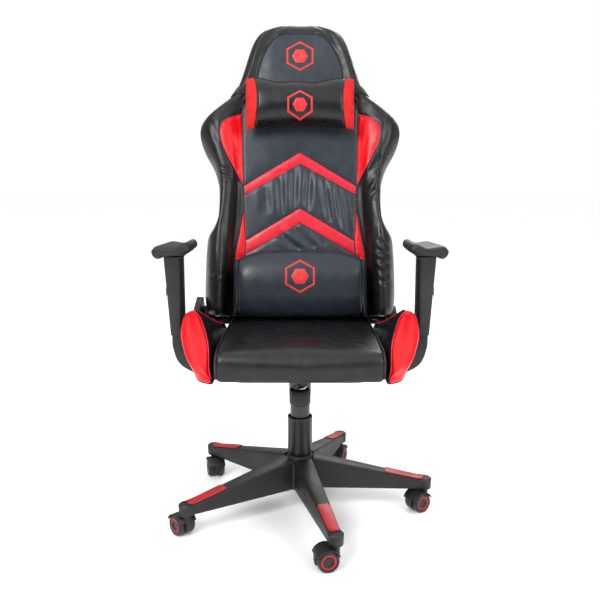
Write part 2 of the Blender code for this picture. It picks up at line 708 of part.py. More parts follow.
def add_height_lever(lever):
    path = lever_path()
    handle = part("height_lever", tube(path, LEVER_RADIUS), "steel_black", lever)
    end = path[-1]
    droop = math.tan(math.radians(LEVER_END_DROOP))
    paddle = rounded([(end[0] + 0.020, LEVER_Y - 0.010), (end[0] + 0.020, LEVER_Y + 0.010),
                      (-LEVER_REACH, LEVER_Y + 0.014), (-LEVER_REACH, LEVER_Y - 0.014)], 0.007, 3)
    grip = outline(paddle, 0.011, "Z")
    for vert in grip.vertices:
        vert.co.z += end[2] + (vert.co.x - end[0]) * droop
    join(handle, grip, lever)


def add_seat_plate(seat):
    low = SEAT_PLATE_TOP - SEAT_PLATE_THICKNESS
    half = SEAT_PLATE_HALF_WIDTH
    corners = rounded([(-half, -0.140), (half, -0.140), (half, 0.125), (-half, 0.125)], 0.012, 3)
    window = rounded([(-0.030, -0.022), (-0.030, 0.050), (0.030, 0.050), (0.030, -0.022)], 0.008, 2)
    plate = part("seat_plate", outline(corners, SEAT_PLATE_THICKNESS, "Z", (low + SEAT_PLATE_TOP) / 2, window),
                 "steel_black", seat)
    lug_low = TILT_AXIS_Z - 0.010
    lug = [(TILT_AXIS_Y - 0.022, low + 0.001), (TILT_AXIS_Y - 0.010, lug_low), (TILT_AXIS_Y + 0.010, lug_low),
           (TILT_AXIS_Y + 0.022, low + 0.001)]
    for side in (-1, 1):
        at = side * (HOUSING_HALF_WIDTH + 0.0030)
        join(plate, outline(lug, 0.004, "X", at), seat)
    axis = (TILT_AXIS_Y, TILT_AXIS_Z)
    cut(plate, rod((-0.07, *axis), (0.07, *axis), 0.005 + GAP, 16), seat)
    cut(plate, rod((0, KNOB_Y, low - 0.01), (0, KNOB_Y, SEAT_PLATE_TOP + 0.01), BOLT_RADIUS + GAP, 16), seat)


def add_tension(seat, knob):
    low = KNOB_TOP - KNOB_HEIGHT
    recess = 0.0195
    floor = low + 0.009
    head_low = SEAT_PLATE_TOP + GAP
    head_high = SEAT_BOTTOM - 0.0012
    r = KNOB_RADIUS
    profile = [(0.0, head_high), (0.0085, head_high), (0.0085, head_low), (BOLT_RADIUS, head_low),
               (BOLT_RADIUS, floor), (recess, floor), (recess, KNOB_TOP), (r - 0.002, KNOB_TOP),
               (r, KNOB_TOP - 0.003), (r, low + 0.004), (r - 0.004, low), (0.0, low)]
    knob_mesh = turned(profile, ROUND)
    knob_mesh.transform(Matrix.Translation((0, KNOB_Y, 0)))
    part("tension_knob", knob_mesh, "nylon_black", knob)
    wire = 0.0016
    bottom = floor + wire + GAP
    top = KNOB_TOP + 0.020 - wire - GAP
    coil, turns, per_turn = 0.0150, 4, 10
    points = []
    for k in range(turns * per_turn + 1):
        angle = 2 * math.pi * k / per_turn
        share = k / (turns * per_turn)
        points.append((coil * math.cos(angle), KNOB_Y + coil * math.sin(angle), bottom + (top - bottom) * share))
    part("tension_spring", tube(points, wire, resolution=0), "steel_bright", seat)


# ---------------------------------------------------------------- seat
def add_seat_frame(seat):
    z = SEAT_PLATE_TOP + GAP + FRAME_TUBE_RADIUS
    loop = rounded([(-SEAT_RAIL_X, SEAT_RAIL_FRONT), (SEAT_RAIL_X, SEAT_RAIL_FRONT), (SEAT_RAIL_X, SEAT_RAIL_REAR),
                    (-SEAT_RAIL_X, SEAT_RAIL_REAR)], 0.045, 5)
    frame = part("seat_frame", tube([(x, y, z) for x, y in loop], FRAME_TUBE_RADIUS, cyclic=True),
                 "steel_black", seat)
    low = SEAT_PLATE_TOP + GAP
    end = SEAT_RAIL_X - 0.003
    for y in (KNOB_Y - 0.031, 0.068):
        join(frame, box((-end, y - 0.014, low), (end, y + 0.014, low + 0.009)), seat)


def add_seat_cushion(seat):
    top = SEAT_BOTTOM + SEAT_THICKNESS
    side = [(SEAT_FRONT + 0.008, SEAT_BOTTOM), (SEAT_REAR, SEAT_BOTTOM), (SEAT_REAR, top - 0.016),
            (0.05, top - 0.012), (-0.10, top - 0.004), (SEAT_FRONT + 0.045, top), (SEAT_FRONT + 0.012, top - 0.012),
            (SEAT_FRONT, top - 0.035)]
    radii = [0.010, 0.006, 0.012, 0.0, 0.0, 0.03, 0.02, 0.03]
    cushion_mesh = outline(rounded(side, radii, 3), 2 * SEAT_HALF_WIDTH)
    cushion = part("seat_cushion", cushion_mesh, "leather_black", seat)
    bevel = cushion.modifiers.new("soft_edges", "BEVEL")
    bevel.width = 0.012
    bevel.segments = 2
    bevel.limit_method = "ANGLE"
    bevel.angle_limit = math.radians(60)
    grow = FRAME_TUBE_RADIUS + 0.004
    pocket = rounded([(-SEAT_RAIL_X - grow, SEAT_RAIL_FRONT - grow), (SEAT_RAIL_X + grow, SEAT_RAIL_FRONT - grow),
                      (SEAT_RAIL_X + grow, SEAT_RAIL_REAR + grow - 0.002),
                      (-SEAT_RAIL_X - grow, SEAT_RAIL_REAR + grow - 0.002)], 0.050, 5)
    frame_top = SEAT_PLATE_TOP + GAP + 2 * FRAME_TUBE_RADIUS
    depth = frame_top + 0.002 - SEAT_BOTTOM
    cut(cushion, outline(pocket, 2 * depth, "Z", SEAT_BOTTOM), seat)


# Along the wing from front to rear: y, then shares of WING_LEAN for the top's inner and outer edge and the
# widest point, then the share of WING_HEIGHT that the top reaches.
WING_STATIONS = (
    (-0.252, (0.06, 0.14, 0.15, 0.12)),
    (-0.240, (0.12, 0.36, 0.38, 0.20)),
    (-0.225, (0.17, 0.52, 0.54, 0.30)),
    (-0.195, (0.22, 0.68, 0.74, 0.46)),
    (-0.165, (0.29, 0.78, 0.88, 0.66)),
    (-0.135, (0.42, 0.85, 0.98, 0.84)),
    (-0.110, (0.54, 0.89, 1.00, 0.97)),
    (-0.090, (0.59, 0.90, 0.98, 1.00)),
    (-0.050, (0.60, 0.86, 0.93, 0.95)),
    (0.000, (0.50, 0.78, 0.84, 0.80)),
    (0.050, (0.38, 0.68, 0.72, 0.64)),
    (0.088, (0.24, 0.50, 0.54, 0.51)),
    (0.102, (0.18, 0.40, 0.43, 0.46)),
    (0.120, (0.12, 0.34, 0.37, 0.44)),
    (0.136, (0.08, 0.26, 0.29, 0.38)),
)


def add_seat_wing(seat, name, side):
    inner = SEAT_HALF_WIDTH + 0.0025
    low = SEAT_BOTTOM - 0.005
    rings = []
    for y, (inner_top, outer_top, widest, rise) in WING_STATIONS:
        top = low + WING_HEIGHT * rise
        x_in = inner + WING_LEAN * inner_top
        x_out = inner + WING_LEAN * outer_top
        x_wide = inner + WING_LEAN * widest
        x_foot = inner + WING_LEAN * min(0.42, widest * 0.75)
        corners = [(inner, low + 0.003), (inner + (x_in - inner) * 0.35, low + (top - low) * 0.55),
                   (x_in, top - 0.006), ((x_in + x_out) / 2, top), (x_out, top - 0.007),
                   (x_wide, low + (top - low) * 0.72), (x_wide - (x_wide - x_foot) * 0.5, low + (top - low) * 0.30),
                   (x_foot, low)]
        rings.append([(side * x, y, z) for x, z in smooth_ring(corners, 16)])
    part(name, loft(rings), "leather_red", seat, smooth_angle=50)


# ---------------------------------------------------------------- backrest
# Up the back from its bottom: height, then half width at the side, at the bolster's crown (outer, inner), at its
# inner foot, then the depth of the crown and of the centre panel in front of the middle plane, and of the rear.
BACK_STATIONS = (
    (0.0125, (0.250, 0.224, 0.204, 0.184, 0.080, 0.032, 0.026)),
    (0.030, (0.256, 0.226, 0.204, 0.184, 0.088, 0.036, 0.030)),
    (0.130, (0.255, 0.222, 0.200, 0.181, 0.092, 0.038, 0.030)),
    (0.190, (0.252, 0.219, 0.197, 0.175, 0.090, 0.040, 0.030)),
    (0.225, (0.247, 0.217, 0.195, 0.170, 0.088, 0.040, 0.030)),
    (0.255, (0.228, 0.214, 0.192, 0.166, 0.085, 0.040, 0.030)),
    (0.280, (0.217, 0.210, 0.189, 0.164, 0.082, 0.040, 0.030)),
    (0.320, (0.2154, 0.206, 0.185, 0.160, 0.076, 0.040, 0.030)),
    (0.368, (0.2203, 0.204, 0.182, 0.157, 0.070, 0.040, 0.030)),
    (0.409, (0.233, 0.208, 0.180, 0.155, 0.066, 0.040, 0.030)),
    (0.455, (0.257, 0.220, 0.185, 0.154, 0.064, 0.040, 0.030)),
    (0.498, (0.270, 0.228, 0.190, 0.156, 0.062, 0.040, 0.030)),
    (0.528, (0.268, 0.228, 0.190, 0.157, 0.060, 0.041, 0.030)),
    (0.555, (0.250, 0.220, 0.186, 0.156, 0.055, 0.042, 0.030)),
    (0.578, (0.222, 0.200, 0.174, 0.148, 0.050, 0.042, 0.030)),
    (0.603, (0.190, 0.172, 0.152, 0.130, 0.045, 0.042, 0.030)),
    (0.636, (0.168, 0.150, 0.130, 0.105, 0.042, 0.042, 0.030)),
    (0.679, (0.152, 0.134, 0.115, 0.090, 0.041, 0.042, 0.030)),
    (0.727, (0.137, 0.119, 0.100, 0.078, 0.039, 0.040, 0.029)),
    (0.765, (0.121, 0.101, 0.083, 0.063, 0.033, 0.036, 0.026)),
    (0.790, (0.098, 0.080, 0.065, 0.050, 0.024, 0.028, 0.020)),
    (0.803, (0.068, 0.055, 0.045, 0.035, 0.011, 0.013, 0.010)),
)
BACK_RING = 32


def back_corners(height):
    """Control points of the back's section at a height, in (x, y), clockwise seen from above."""
    side, crown, crown_in, foot, front, centre, rear = spline_value(BACK_STATIONS, height)
    half = [(0.0, rear), (side * 0.5, rear), (side * 0.86, rear * 0.85), (side * 0.985, rear * 0.25),
            (side, -0.012 * min(1.0, front / 0.03)), (side - (side - crown) * 0.40, -front * 0.72),
            (crown, -front), (crown_in, -front * 0.93), (foot, -centre * 1.02), (foot * 0.55, -centre),
            (0.0, -centre)]
    mirrored = [(-x, y) for x, y in half[-2:0:-1]]
    return half + mirrored


def back_ring(height):
    points = smooth_ring(back_corners(height), BACK_RING)
    return [(x, y, height) for x, y in points]


def back_surface(height, grow):
    """The loft's own section at a height between two stations, grown outwards by grow."""
    levels = [level for level, _ in BACK_STATIONS]
    k = max(i for i in range(len(levels) - 1) if levels[i] <= height)
    share = (height - levels[k]) / (levels[k + 1] - levels[k])
    low, high = back_ring(levels[k]), back_ring(levels[k + 1])
    points = [Vector(a[:2]).lerp(Vector(b[:2]), share) for a, b in zip(low, high)]
    moved = []
    for k, point in enumerate(points):
        along = (points[(k + 1) % len(points)] - points[k - 1]).normalized()
        outwards = Vector((-along.y, along.x))
        moved.append((*(point + outwards * grow), height))
    return moved


def back_body():
    return loft([back_ring(height) for height, _ in BACK_STATIONS])


def frame_half_width(height):
    keys = ((0.0, 0.188), (0.10, 0.188), (0.20, 0.182), (0.32, 0.168), (0.45, 0.178), (0.53, 0.170),
            (0.60, 0.128), (0.68, 0.100), (0.72, 0.086))
    return spline_value(keys, height)


FRAME_LEVELS = (0.04, 0.12, 0.20, 0.28, 0.36, 0.44, 0.50, 0.55, 0.60, 0.66, 0.705)
FRAME_Y = -0.0085


def frame_outline(grow, bottom):
    side = [(frame_half_width(h) + grow, h) for h in FRAME_LEVELS]
    top = FRAME_LEVELS[-1] + 0.030 + grow
    arch = [(side[-1][0] - 0.022, top - 0.006), (side[-1][0] * 0.45, top)]
    right = [(side[0][0], bottom)] + side + arch
    return right + [(-x, z) for x, z in reversed(right)]


def add_back_frame(back):
    path = [(x, FRAME_Y, z) for x, z in frame_outline(0.0, 0.0)]
    frame = part("back_frame", tube(path, FRAME_TUBE_RADIUS), "steel_black", back, own_frame=True)
    end = HINGE_X - GAP
    join(frame, rod((-end, 0, 0), (end, 0, 0), FRAME_TUBE_RADIUS, 20), back, own_frame=True)
    for height in (0.16, 0.34, 0.52):
        half = frame_half_width(height)
        join(frame, box((-half, FRAME_Y - 0.004, height - 0.012), (half, FRAME_Y + 0.004, height + 0.012)),
             back, own_frame=True)
    for side in (-1, 1):
        bore = rod((side * (end - 0.012), 0, 0), (side * (end + 0.01), 0, 0), PIVOT_RADIUS + RUNNING_GAP, 18)
        cut(frame, bore, back, own_frame=True)


def add_back_cushion(back):
    split = PANEL_SPLIT
    cushion = part("back_cushion", back_body(), "leather_black", back, own_frame=True, smooth_angle=50)
    cut(cushion, box((-0.4, split, -0.1), (0.4, 0.2, 1.0)), back, own_frame=True)
    pocket = outline(frame_outline(FRAME_TUBE_RADIUS + 0.003, -0.03), 0.030 + split, "Y",
                     split - (0.030 + split) / 2 + 0.005)
    cut(cushion, pocket, back, own_frame=True)
    panel = part("back_panel", back_body(), "leather_black", back, own_frame=True, smooth_angle=50)
    cut(panel, box((-0.4, -0.3, -0.1), (0.4, split + GAP, 1.0)), back, own_frame=True)
    for piece in (cushion, panel):
        for side in (-1, 1):
            slot = box((min(side * (HINGE_X - 0.001), side * (HINGE_X + PLATE_THICKNESS + 0.001)), -0.032, -0.01),
                       (max(side * (HINGE_X - 0.001), side * (HINGE_X + PLATE_THICKNESS + 0.001)), 0.05, 0.107))
            cut(piece, slot, back, own_frame=True)
            reach = HINGE_COVER_RADIUS + HIP_CLEARANCE
            cut(piece, rod((side * (HINGE_X - 0.0005), 0, 0), (side * 0.30, 0, 0), reach, 24), back, own_frame=True)


def hinge_arc(centre, radius, first, last, steps=10):
    return [(centre[0] + radius * math.sin(math.radians(a)), centre[1] + radius * math.cos(math.radians(a)))
            for a in [first + (last - first) * k / steps for k in range(steps + 1)]]


def add_recliners(seat, back):
    pivot = (RECLINE_Y, RECLINE_Z)
    foot_low = SEAT_PLATE_TOP - SEAT_PLATE_THICKNESS
    for name, side in (("left", 1), ("right", -1)):
        middle = side * (HINGE_X + PLATE_THICKNESS / 2)
        upper = hinge_arc((0.0, 0.0), HINGE_HEAD_RADIUS, 40, 320, 16) + [(-0.022, 0.100), (0.016, 0.100)]
        upper_plate = part("recliner_upper_" + name, outline(upper, PLATE_THICKNESS, "X", middle), "steel_black",
                           back, own_frame=True)
        cut(upper_plate, rod((side * 0.2, 0, 0), (side * 0.26, 0, 0), PIVOT_RADIUS + GAP, 18), back, own_frame=True)
        middle = side * (HINGE_X + PLATE_THICKNESS * 1.5 + RUNNING_GAP)
        arc = hinge_arc(pivot, HINGE_HEAD_RADIUS, -75, 130)
        lower = [(0.116, foot_low)] + arc + [(0.176, foot_low)]
        lower_plate = part("recliner_lower_" + name, outline(lower, PLATE_THICKNESS, "X", middle), "steel_black", seat)
        outer = HINGE_X + PLATE_THICKNESS * 2 + RUNNING_GAP
        low_x, high_x = sorted((side * (SEAT_RAIL_X - 0.020), side * (outer - 0.001)))
        join(lower_plate, box((low_x, 0.116, foot_low), (high_x, 0.150, foot_low + 0.0037)), seat)
        join(lower_plate, rod((side * (HINGE_X - 0.010), *pivot), (side * (outer - 0.001), *pivot), PIVOT_RADIUS, 18),
             seat)
        add_hinge_cover(seat, name, side, outer)


def add_hinge_cover(seat, name, side, inner_x):
    """A moulded cap over the recliner's head and foot, open towards the plate."""
    pivot = (RECLINE_Y, RECLINE_Z)
    low = SEAT_PLATE_TOP + 0.002

    def shape(radius, front, rear, bottom):
        return [(front, bottom)] + hinge_arc(pivot, radius, -80, 125, 12) + [(rear, bottom)]

    inner_x = inner_x + GAP
    middle = side * (inner_x + HINGE_COVER_WIDTH / 2)
    cover = part("hinge_cover_" + name, outline(shape(HINGE_COVER_RADIUS, 0.112, 0.186, low), HINGE_COVER_WIDTH, "X",
                                                middle), "nylon_black", seat)
    bevel = cover.modifiers.new("rounded_edge", "BEVEL")
    bevel.width = 0.003
    bevel.segments = 2
    bevel.limit_method = "ANGLE"
    bevel.angle_limit = math.radians(50)
    wall = 0.003
    hollow = outline(shape(HINGE_COVER_RADIUS - wall, 0.112 + wall, 0.186 - wall, low + wall),
                     2 * (HINGE_COVER_WIDTH - wall), "X", side * inner_x)
    cut(cover, hollow, seat)


def add_recline_lever(lever):
    """A flat plastic handle on the sitter's right: hub on the hinge, then up and forward beside the seat."""
    y, z = RECLINE_Y, RECLINE_Z
    inner = HINGE_X + PLATE_THICKNESS * 2 + RUNNING_GAP + GAP + HINGE_COVER_WIDTH + RUNNING_GAP
    thickness = 0.016
    shape = [(y + 0.022, z - 0.010), (y + 0.018, z + 0.040), (y - 0.012, z + 0.070), (y - 0.055, z + 0.060),
             (y - 0.125, z + 0.040), (y - 0.132, z + 0.020), (y - 0.060, z + 0.026), (y - 0.024, z + 0.024),
             (y - 0.022, z - 0.012), (y, z - 0.026)]
    radii = [0.010, 0.02, 0.022, 0.02, 0.009, 0.009, 0.02, 0.012, 0.010, 0.012]
    handle = part("recline_lever", outline(rounded(shape, radii, 3), thickness, "X", -(inner + thickness / 2)),
                  "nylon_black", lever)
    bevel = handle.modifiers.new("rounded_edge", "BEVEL")
    bevel.width = 0.003
    bevel.segments = 2
    bevel.limit_method = "ANGLE"
    bevel.angle_limit = math.radians(50)


def add_pillows(back):
    centre = spline_value(BACK_STATIONS, LUMBAR_CENTRE_HEIGHT)[5]
    y = -centre - 0.0012 - LUMBAR_SIZE[1] / 2
    part("lumbar_pillow", pillow(LUMBAR_SIZE, (0.0, y, LUMBAR_CENTRE_HEIGHT)), "leather_black", back, own_frame=True,
         smooth_angle=60)
    centre = spline_value(BACK_STATIONS, HEAD_PILLOW_HEIGHT)[5]
    y = -centre - 0.0030 - HEAD_PILLOW_SIZE[1] / 2
    part("head_pillow", pillow(HEAD_PILLOW_SIZE, (0.0, y, HEAD_PILLOW_HEIGHT)), "leather_black", back,
         own_frame=True, smooth_angle=60)


def add_head_strap(back):
    """An elastic band round the head section, behind the head pillow."""
    low = HEAD_PILLOW_HEIGHT + STRAP_ABOVE_PILLOW_CENTRE
    high = low + STRAP_WIDTH
    levels = [low] + [level for level, _ in BACK_STATIONS if low < level < high] + [high]
    inner = [(level, STRAP_CLEARANCE) for level in levels]
    outer = [(level, STRAP_CLEARANCE + STRAP_THICKNESS) for level in reversed(levels)]
    bm = bmesh.new()
    rows = [[bm.verts.new(point) for point in back_surface(level, grow)] for level, grow in inner + outer]
    count = len(rows[0])
    for k, first in enumerate(rows):
        second = rows[(k + 1) % len(rows)]
        for j in range(count):
            n = (j + 1) % count
            bm.faces.new((first[j], first[n], second[n], second[j]))
    bm.normal_update()
    bmesh.ops.recalc_face_normals(bm, faces=bm.faces[:])
    part("head_strap", mesh_from(bm), "elastic_black", back, own_frame=True)


# ---------------------------------------------------------------- armrests
def bracket_outline():
    """The bracket's L in (x, z): a leg under the seat, a bend, and the post up to the sleeve."""
    low = BRACKET_LEG_BOTTOM
    high = low + BRACKET_LEG_THICKNESS
    outer = POST_INNER_X + BRACKET_POST_THICKNESS
    leg = [(BRACKET_LEG_INNER_X, low), (0.245, low - 0.001), (outer - 0.012, low + 0.026), (outer, 0.445),
           (outer, SLEEVE_BOTTOM - GAP), (POST_INNER_X, SLEEVE_BOTTOM - GAP), (POST_INNER_X, 0.445),
           (POST_INNER_X - 0.014, high + 0.012), (0.236, high), (BRACKET_LEG_INNER_X, high)]
    radii = [0.004, 0.05, 0.05, 0.04, 0.0, 0.0, 0.03, 0.035, 0.03, 0.004]
    return rounded(leg, radii, 3)


def sleeve_rings(inset=0.0):
    """Sections of the sleeve from bottom to top, in the left armrest's place."""
    rings = []
    for share in (0.0, 0.85, 1.0):
        z = SLEEVE_BOTTOM + (SLEEVE_TOP - SLEEVE_BOTTOM) * share
        width = SLEEVE_BOTTOM_WIDTH + (SLEEVE_TOP_WIDTH - SLEEVE_BOTTOM_WIDTH) * share
        half = SLEEVE_DEPTH / 2
        corners = [(POST_INNER_X, POST_Y - half), (POST_INNER_X + width, POST_Y - half),
                   (POST_INNER_X + width, POST_Y + half), (POST_INNER_X, POST_Y + half)]
        rings.append([(x, y, z) for x, y in rounded(corners, 0.009, 3)])
    return rings


def mirrored(mesh, side):
    """The mesh as drawn for the left, or its mirror image for the right, with faces still outwards."""
    if side < 0:
        mesh.transform(Matrix.Diagonal((-1, 1, 1, 1)))
        mesh.flip_normals()
    return mesh


def add_armrest(seat, name, side, sleeve_pivot, button_pivot):
    bracket_mesh = mirrored(outline(bracket_outline(), BRACKET_WIDTH, "Y", POST_Y), side)
    bracket = part("arm_bracket_" + name, bracket_mesh, "nylon_black", seat)
    bevel = bracket.modifiers.new("rounded_edge", "BEVEL")
    bevel.width = 0.006
    bevel.segments = 2
    bevel.limit_method = "ANGLE"
    bevel.angle_limit = math.radians(60)
    tongue_low_x = POST_INNER_X + 0.0045
    tongue = box((tongue_low_x, POST_Y - TONGUE_DEPTH / 2, SLEEVE_BOTTOM - 0.012),
                 (tongue_low_x + TONGUE_THICKNESS, POST_Y + TONGUE_DEPTH / 2, TONGUE_TOP))
    join(bracket, mirrored(tongue, side), seat)

    sleeve = part("arm_sleeve_" + name, mirrored(loft(sleeve_rings()), side), "nylon_black", sleeve_pivot)
    slot_top = TONGUE_TOP + 0.006
    slot = box((tongue_low_x - RUNNING_GAP, POST_Y - TONGUE_DEPTH / 2 - RUNNING_GAP, SLEEVE_BOTTOM - 0.01),
               (tongue_low_x + TONGUE_THICKNESS + RUNNING_GAP, POST_Y + TONGUE_DEPTH / 2 + RUNNING_GAP, slot_top))
    cut(sleeve, mirrored(slot, side), sleeve_pivot)
    flange = box((POST_INNER_X - 0.004, POST_Y - 0.045, SLEEVE_TOP - 0.001),
                 (POST_INNER_X + 0.036, POST_Y + 0.045, SLEEVE_TOP + 0.0035))
    join(sleeve, mirrored(flange, side), sleeve_pivot)
    button_z = SLEEVE_BOTTOM + 0.105
    button_low_x = tongue_low_x + TONGUE_THICKNESS + RUNNING_GAP + BUTTON_TRAVEL + 0.001
    hole = box((button_low_x - 0.008, POST_Y - 0.0125, button_z - 0.0105),
               (POST_INNER_X + 0.06, POST_Y + 0.0125, button_z + 0.0105))
    cut(sleeve, mirrored(hole, side), sleeve_pivot)
    share = (button_z - SLEEVE_BOTTOM) / (SLEEVE_TOP - SLEEVE_BOTTOM)
    outer_face = POST_INNER_X + SLEEVE_BOTTOM_WIDTH + (SLEEVE_TOP_WIDTH - SLEEVE_BOTTOM_WIDTH) * share
    button = box((button_low_x, POST_Y - 0.012, button_z - 0.010),
                 (outer_face + 0.004, POST_Y + 0.012, button_z + 0.010), 0.0015, 1)
    part("arm_button_" + name, mirrored(button, side), "pu_black", button_pivot)
    add_arm_pad(sleeve_pivot, name, side)


def pad_section():
    """The pad's saddle section in (x, height above its centre line)."""
    inner_x, inner_r = PAD_INNER_LOBE
    outer_x, outer_r = PAD_OUTER_LOBE
    rise = PAD_LOBE_RISE
    middle = (inner_x + outer_x) / 2 - 0.004
    points = []
    for angle in (200, 155, 110, 65):
        a = math.radians(angle)
        points.append((inner_x + inner_r * math.cos(a), rise + inner_r * math.sin(a)))
    points.append((middle, PAD_WEB - 0.001))
    for angle in (110, 65, 15, -35, -80):
        a = math.radians(angle)
        points.append((outer_x + outer_r * math.cos(a), -rise + outer_r * math.sin(a)))
    points.append((middle + 0.020, -PAD_WEB - 0.005))
    points.append((middle - 0.014, -PAD_WEB - 0.003))
    points.append((inner_x, rise - inner_r))
    return points


def add_arm_pad(sleeve_pivot, name, side):
    half = PAD_LENGTH / 2
    centre_x = (PAD_INNER_LOBE[0] + PAD_OUTER_LOBE[0]) / 2
    section = smooth_ring(pad_section(), 22)
    rings = []
    for along, scale in ((-1.0, 0.55), (-0.985, 0.80), (-0.95, 0.95), (-0.88, 1.0), (0.88, 1.0), (0.95, 0.95),
                         (0.985, 0.80), (1.0, 0.55)):
        y = POST_Y + half * along
        z = PAD_CENTRE_Z - half * along * math.tan(PAD_SLOPE)
        rings.append([(centre_x + (x - centre_x) * (0.5 + scale / 2), y, z + h * scale) for x, h in section])
    pad_mesh = loft(rings)
    pad = part("arm_pad_" + name, mirrored(pad_mesh, side), "pu_black", sleeve_pivot, smooth_angle=60)
    seat_x = (POST_INNER_X - 0.0045, POST_INNER_X + SLEEVE_TOP_WIDTH + RUNNING_GAP)
    recess = box((seat_x[0], POST_Y - 0.0455, SLEEVE_TOP - 0.02), (seat_x[1], POST_Y + 0.0455, SLEEVE_TOP + 0.0038))
    cut(pad, mirrored(recess, side), sleeve_pivot)


# ---------------------------------------------------------------- assembly
def build():
    base = empty("base", (0, 0, 0), CHAIR)
    piston = empty("seat_swivel", (0, 0, 0.1), CHAIR)
    lift = empty("lift_slide", (0, 0, MECHANISM_BOTTOM), CHAIR)
    release = empty("release_slide", (0, 0, MECHANISM_BOTTOM + 0.02), CHAIR)
    path = lever_path()
    height_lever = empty("height_lever_hinge", (-LEVER_PIVOT, 0.0, path[1][2]), CHAIR)
    seat = empty("seat_tilt", (0, TILT_AXIS_Y, TILT_AXIS_Z), CHAIR)
    knob = empty("tension_turn", (0, KNOB_Y, KNOB_TOP), CHAIR)
    back = empty("back_recline", (0, RECLINE_Y, RECLINE_Z), CHAIR, (-BACK_LEAN, 0.0, 0.0))
    recline_lever = empty("recline_lever_hinge", (0, RECLINE_Y, RECLINE_Z), CHAIR)

    add_star_base(base)
    add_arm_trims(base)
    add_lift_base(base)
    add_casters(base)
    add_lift(piston, lift, release)
    add_tilt_housing(lift)
    add_height_lever(height_lever)
    add_seat_plate(seat)
    add_tension(seat, knob)
    add_seat_frame(seat)
    add_seat_cushion(seat)
    for name, side in (("left", 1), ("right", -1)):
        add_seat_wing(seat, "seat_wing_" + name, side)
    add_back_frame(back)
    add_back_cushion(back)
    add_recliners(seat, back)
    add_recline_lever(recline_lever)
    add_pillows(back)
    add_head_strap(back)
    for name, side in (("left", 1), ("right", -1)):
        sleeve = empty("arm_slide_" + name, (side * POST_INNER_X, POST_Y, SLEEVE_BOTTOM), CHAIR)
        button = empty("arm_button_slide_" + name, (side * POST_INNER_X, POST_Y, SLEEVE_BOTTOM + 0.1), CHAIR)
        add_armrest(seat, name, side, sleeve, button)


clear_scene()
PARTS = new_collection("gaming_chair")
CUTTERS = new_collection("cutters", hidden=True)
CHAIR = bpy.data.objects.new("chair", None)
CHAIR.location = (0.0, COLUMN_Y, 0.0)
PARTS.objects.link(CHAIR)
build()
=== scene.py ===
"""Looks of a racing-style office chair, laid out as an add-on: upholstery, finishes, stage and camera."""
import json
import math

import bpy
import numpy as np
from bpy.props import FloatProperty, FloatVectorProperty, PointerProperty
from mathutils import Matrix, Vector
from mathutils.bvhtree import BVHTree


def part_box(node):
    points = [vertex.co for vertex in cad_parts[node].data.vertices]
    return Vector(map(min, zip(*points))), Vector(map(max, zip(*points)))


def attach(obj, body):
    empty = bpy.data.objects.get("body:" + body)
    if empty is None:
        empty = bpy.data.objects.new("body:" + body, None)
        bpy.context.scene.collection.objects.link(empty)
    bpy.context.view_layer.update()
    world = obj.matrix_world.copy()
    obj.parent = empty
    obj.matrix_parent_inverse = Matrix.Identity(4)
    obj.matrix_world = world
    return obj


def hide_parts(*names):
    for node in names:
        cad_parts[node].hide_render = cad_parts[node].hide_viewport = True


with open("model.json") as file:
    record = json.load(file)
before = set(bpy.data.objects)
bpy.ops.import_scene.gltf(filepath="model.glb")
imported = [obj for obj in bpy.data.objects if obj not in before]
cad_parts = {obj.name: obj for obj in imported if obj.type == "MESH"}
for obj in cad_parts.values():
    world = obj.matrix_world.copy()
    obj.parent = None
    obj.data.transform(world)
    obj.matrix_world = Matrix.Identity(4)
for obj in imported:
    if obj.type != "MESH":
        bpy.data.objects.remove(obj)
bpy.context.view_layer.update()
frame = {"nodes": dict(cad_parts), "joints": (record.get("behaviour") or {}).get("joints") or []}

bl_info = {
    "name": "Racing-style office chair",
    "version": (1, 0, 0),
    "blender": (4, 5, 0),
    "location": "3D View > Sidebar > Chair",
    "description": "Upholstery, finishes, floor, light and camera of a racing-style office chair",
    "category": "Object",
}

MM = 0.001
SPECULAR = 0.36  # of coated PU leather, under the shader's usual 0.5
BLACK_DARK, BLACK_LIGHT = "#0e0f11", "#17191b"  # shades of the black leather between the coloured panels
VELOUR_ROUGHNESS = 0.9
JOINTS = {joint["name"]: joint for joint in frame["joints"]}
COLUMN_Y = JOINTS["seat_swivel"]["pos_m"][1]
BACK_LEAN = math.radians(12.5)
BACK_TO_WORLD = Matrix.Translation(JOINTS["back_recline"]["pos_m"]) @ Matrix.Rotation(-BACK_LEAN, 4, "X")
SEAT_TO_WORLD = Matrix.Translation((0.0, COLUMN_Y, 0.0))

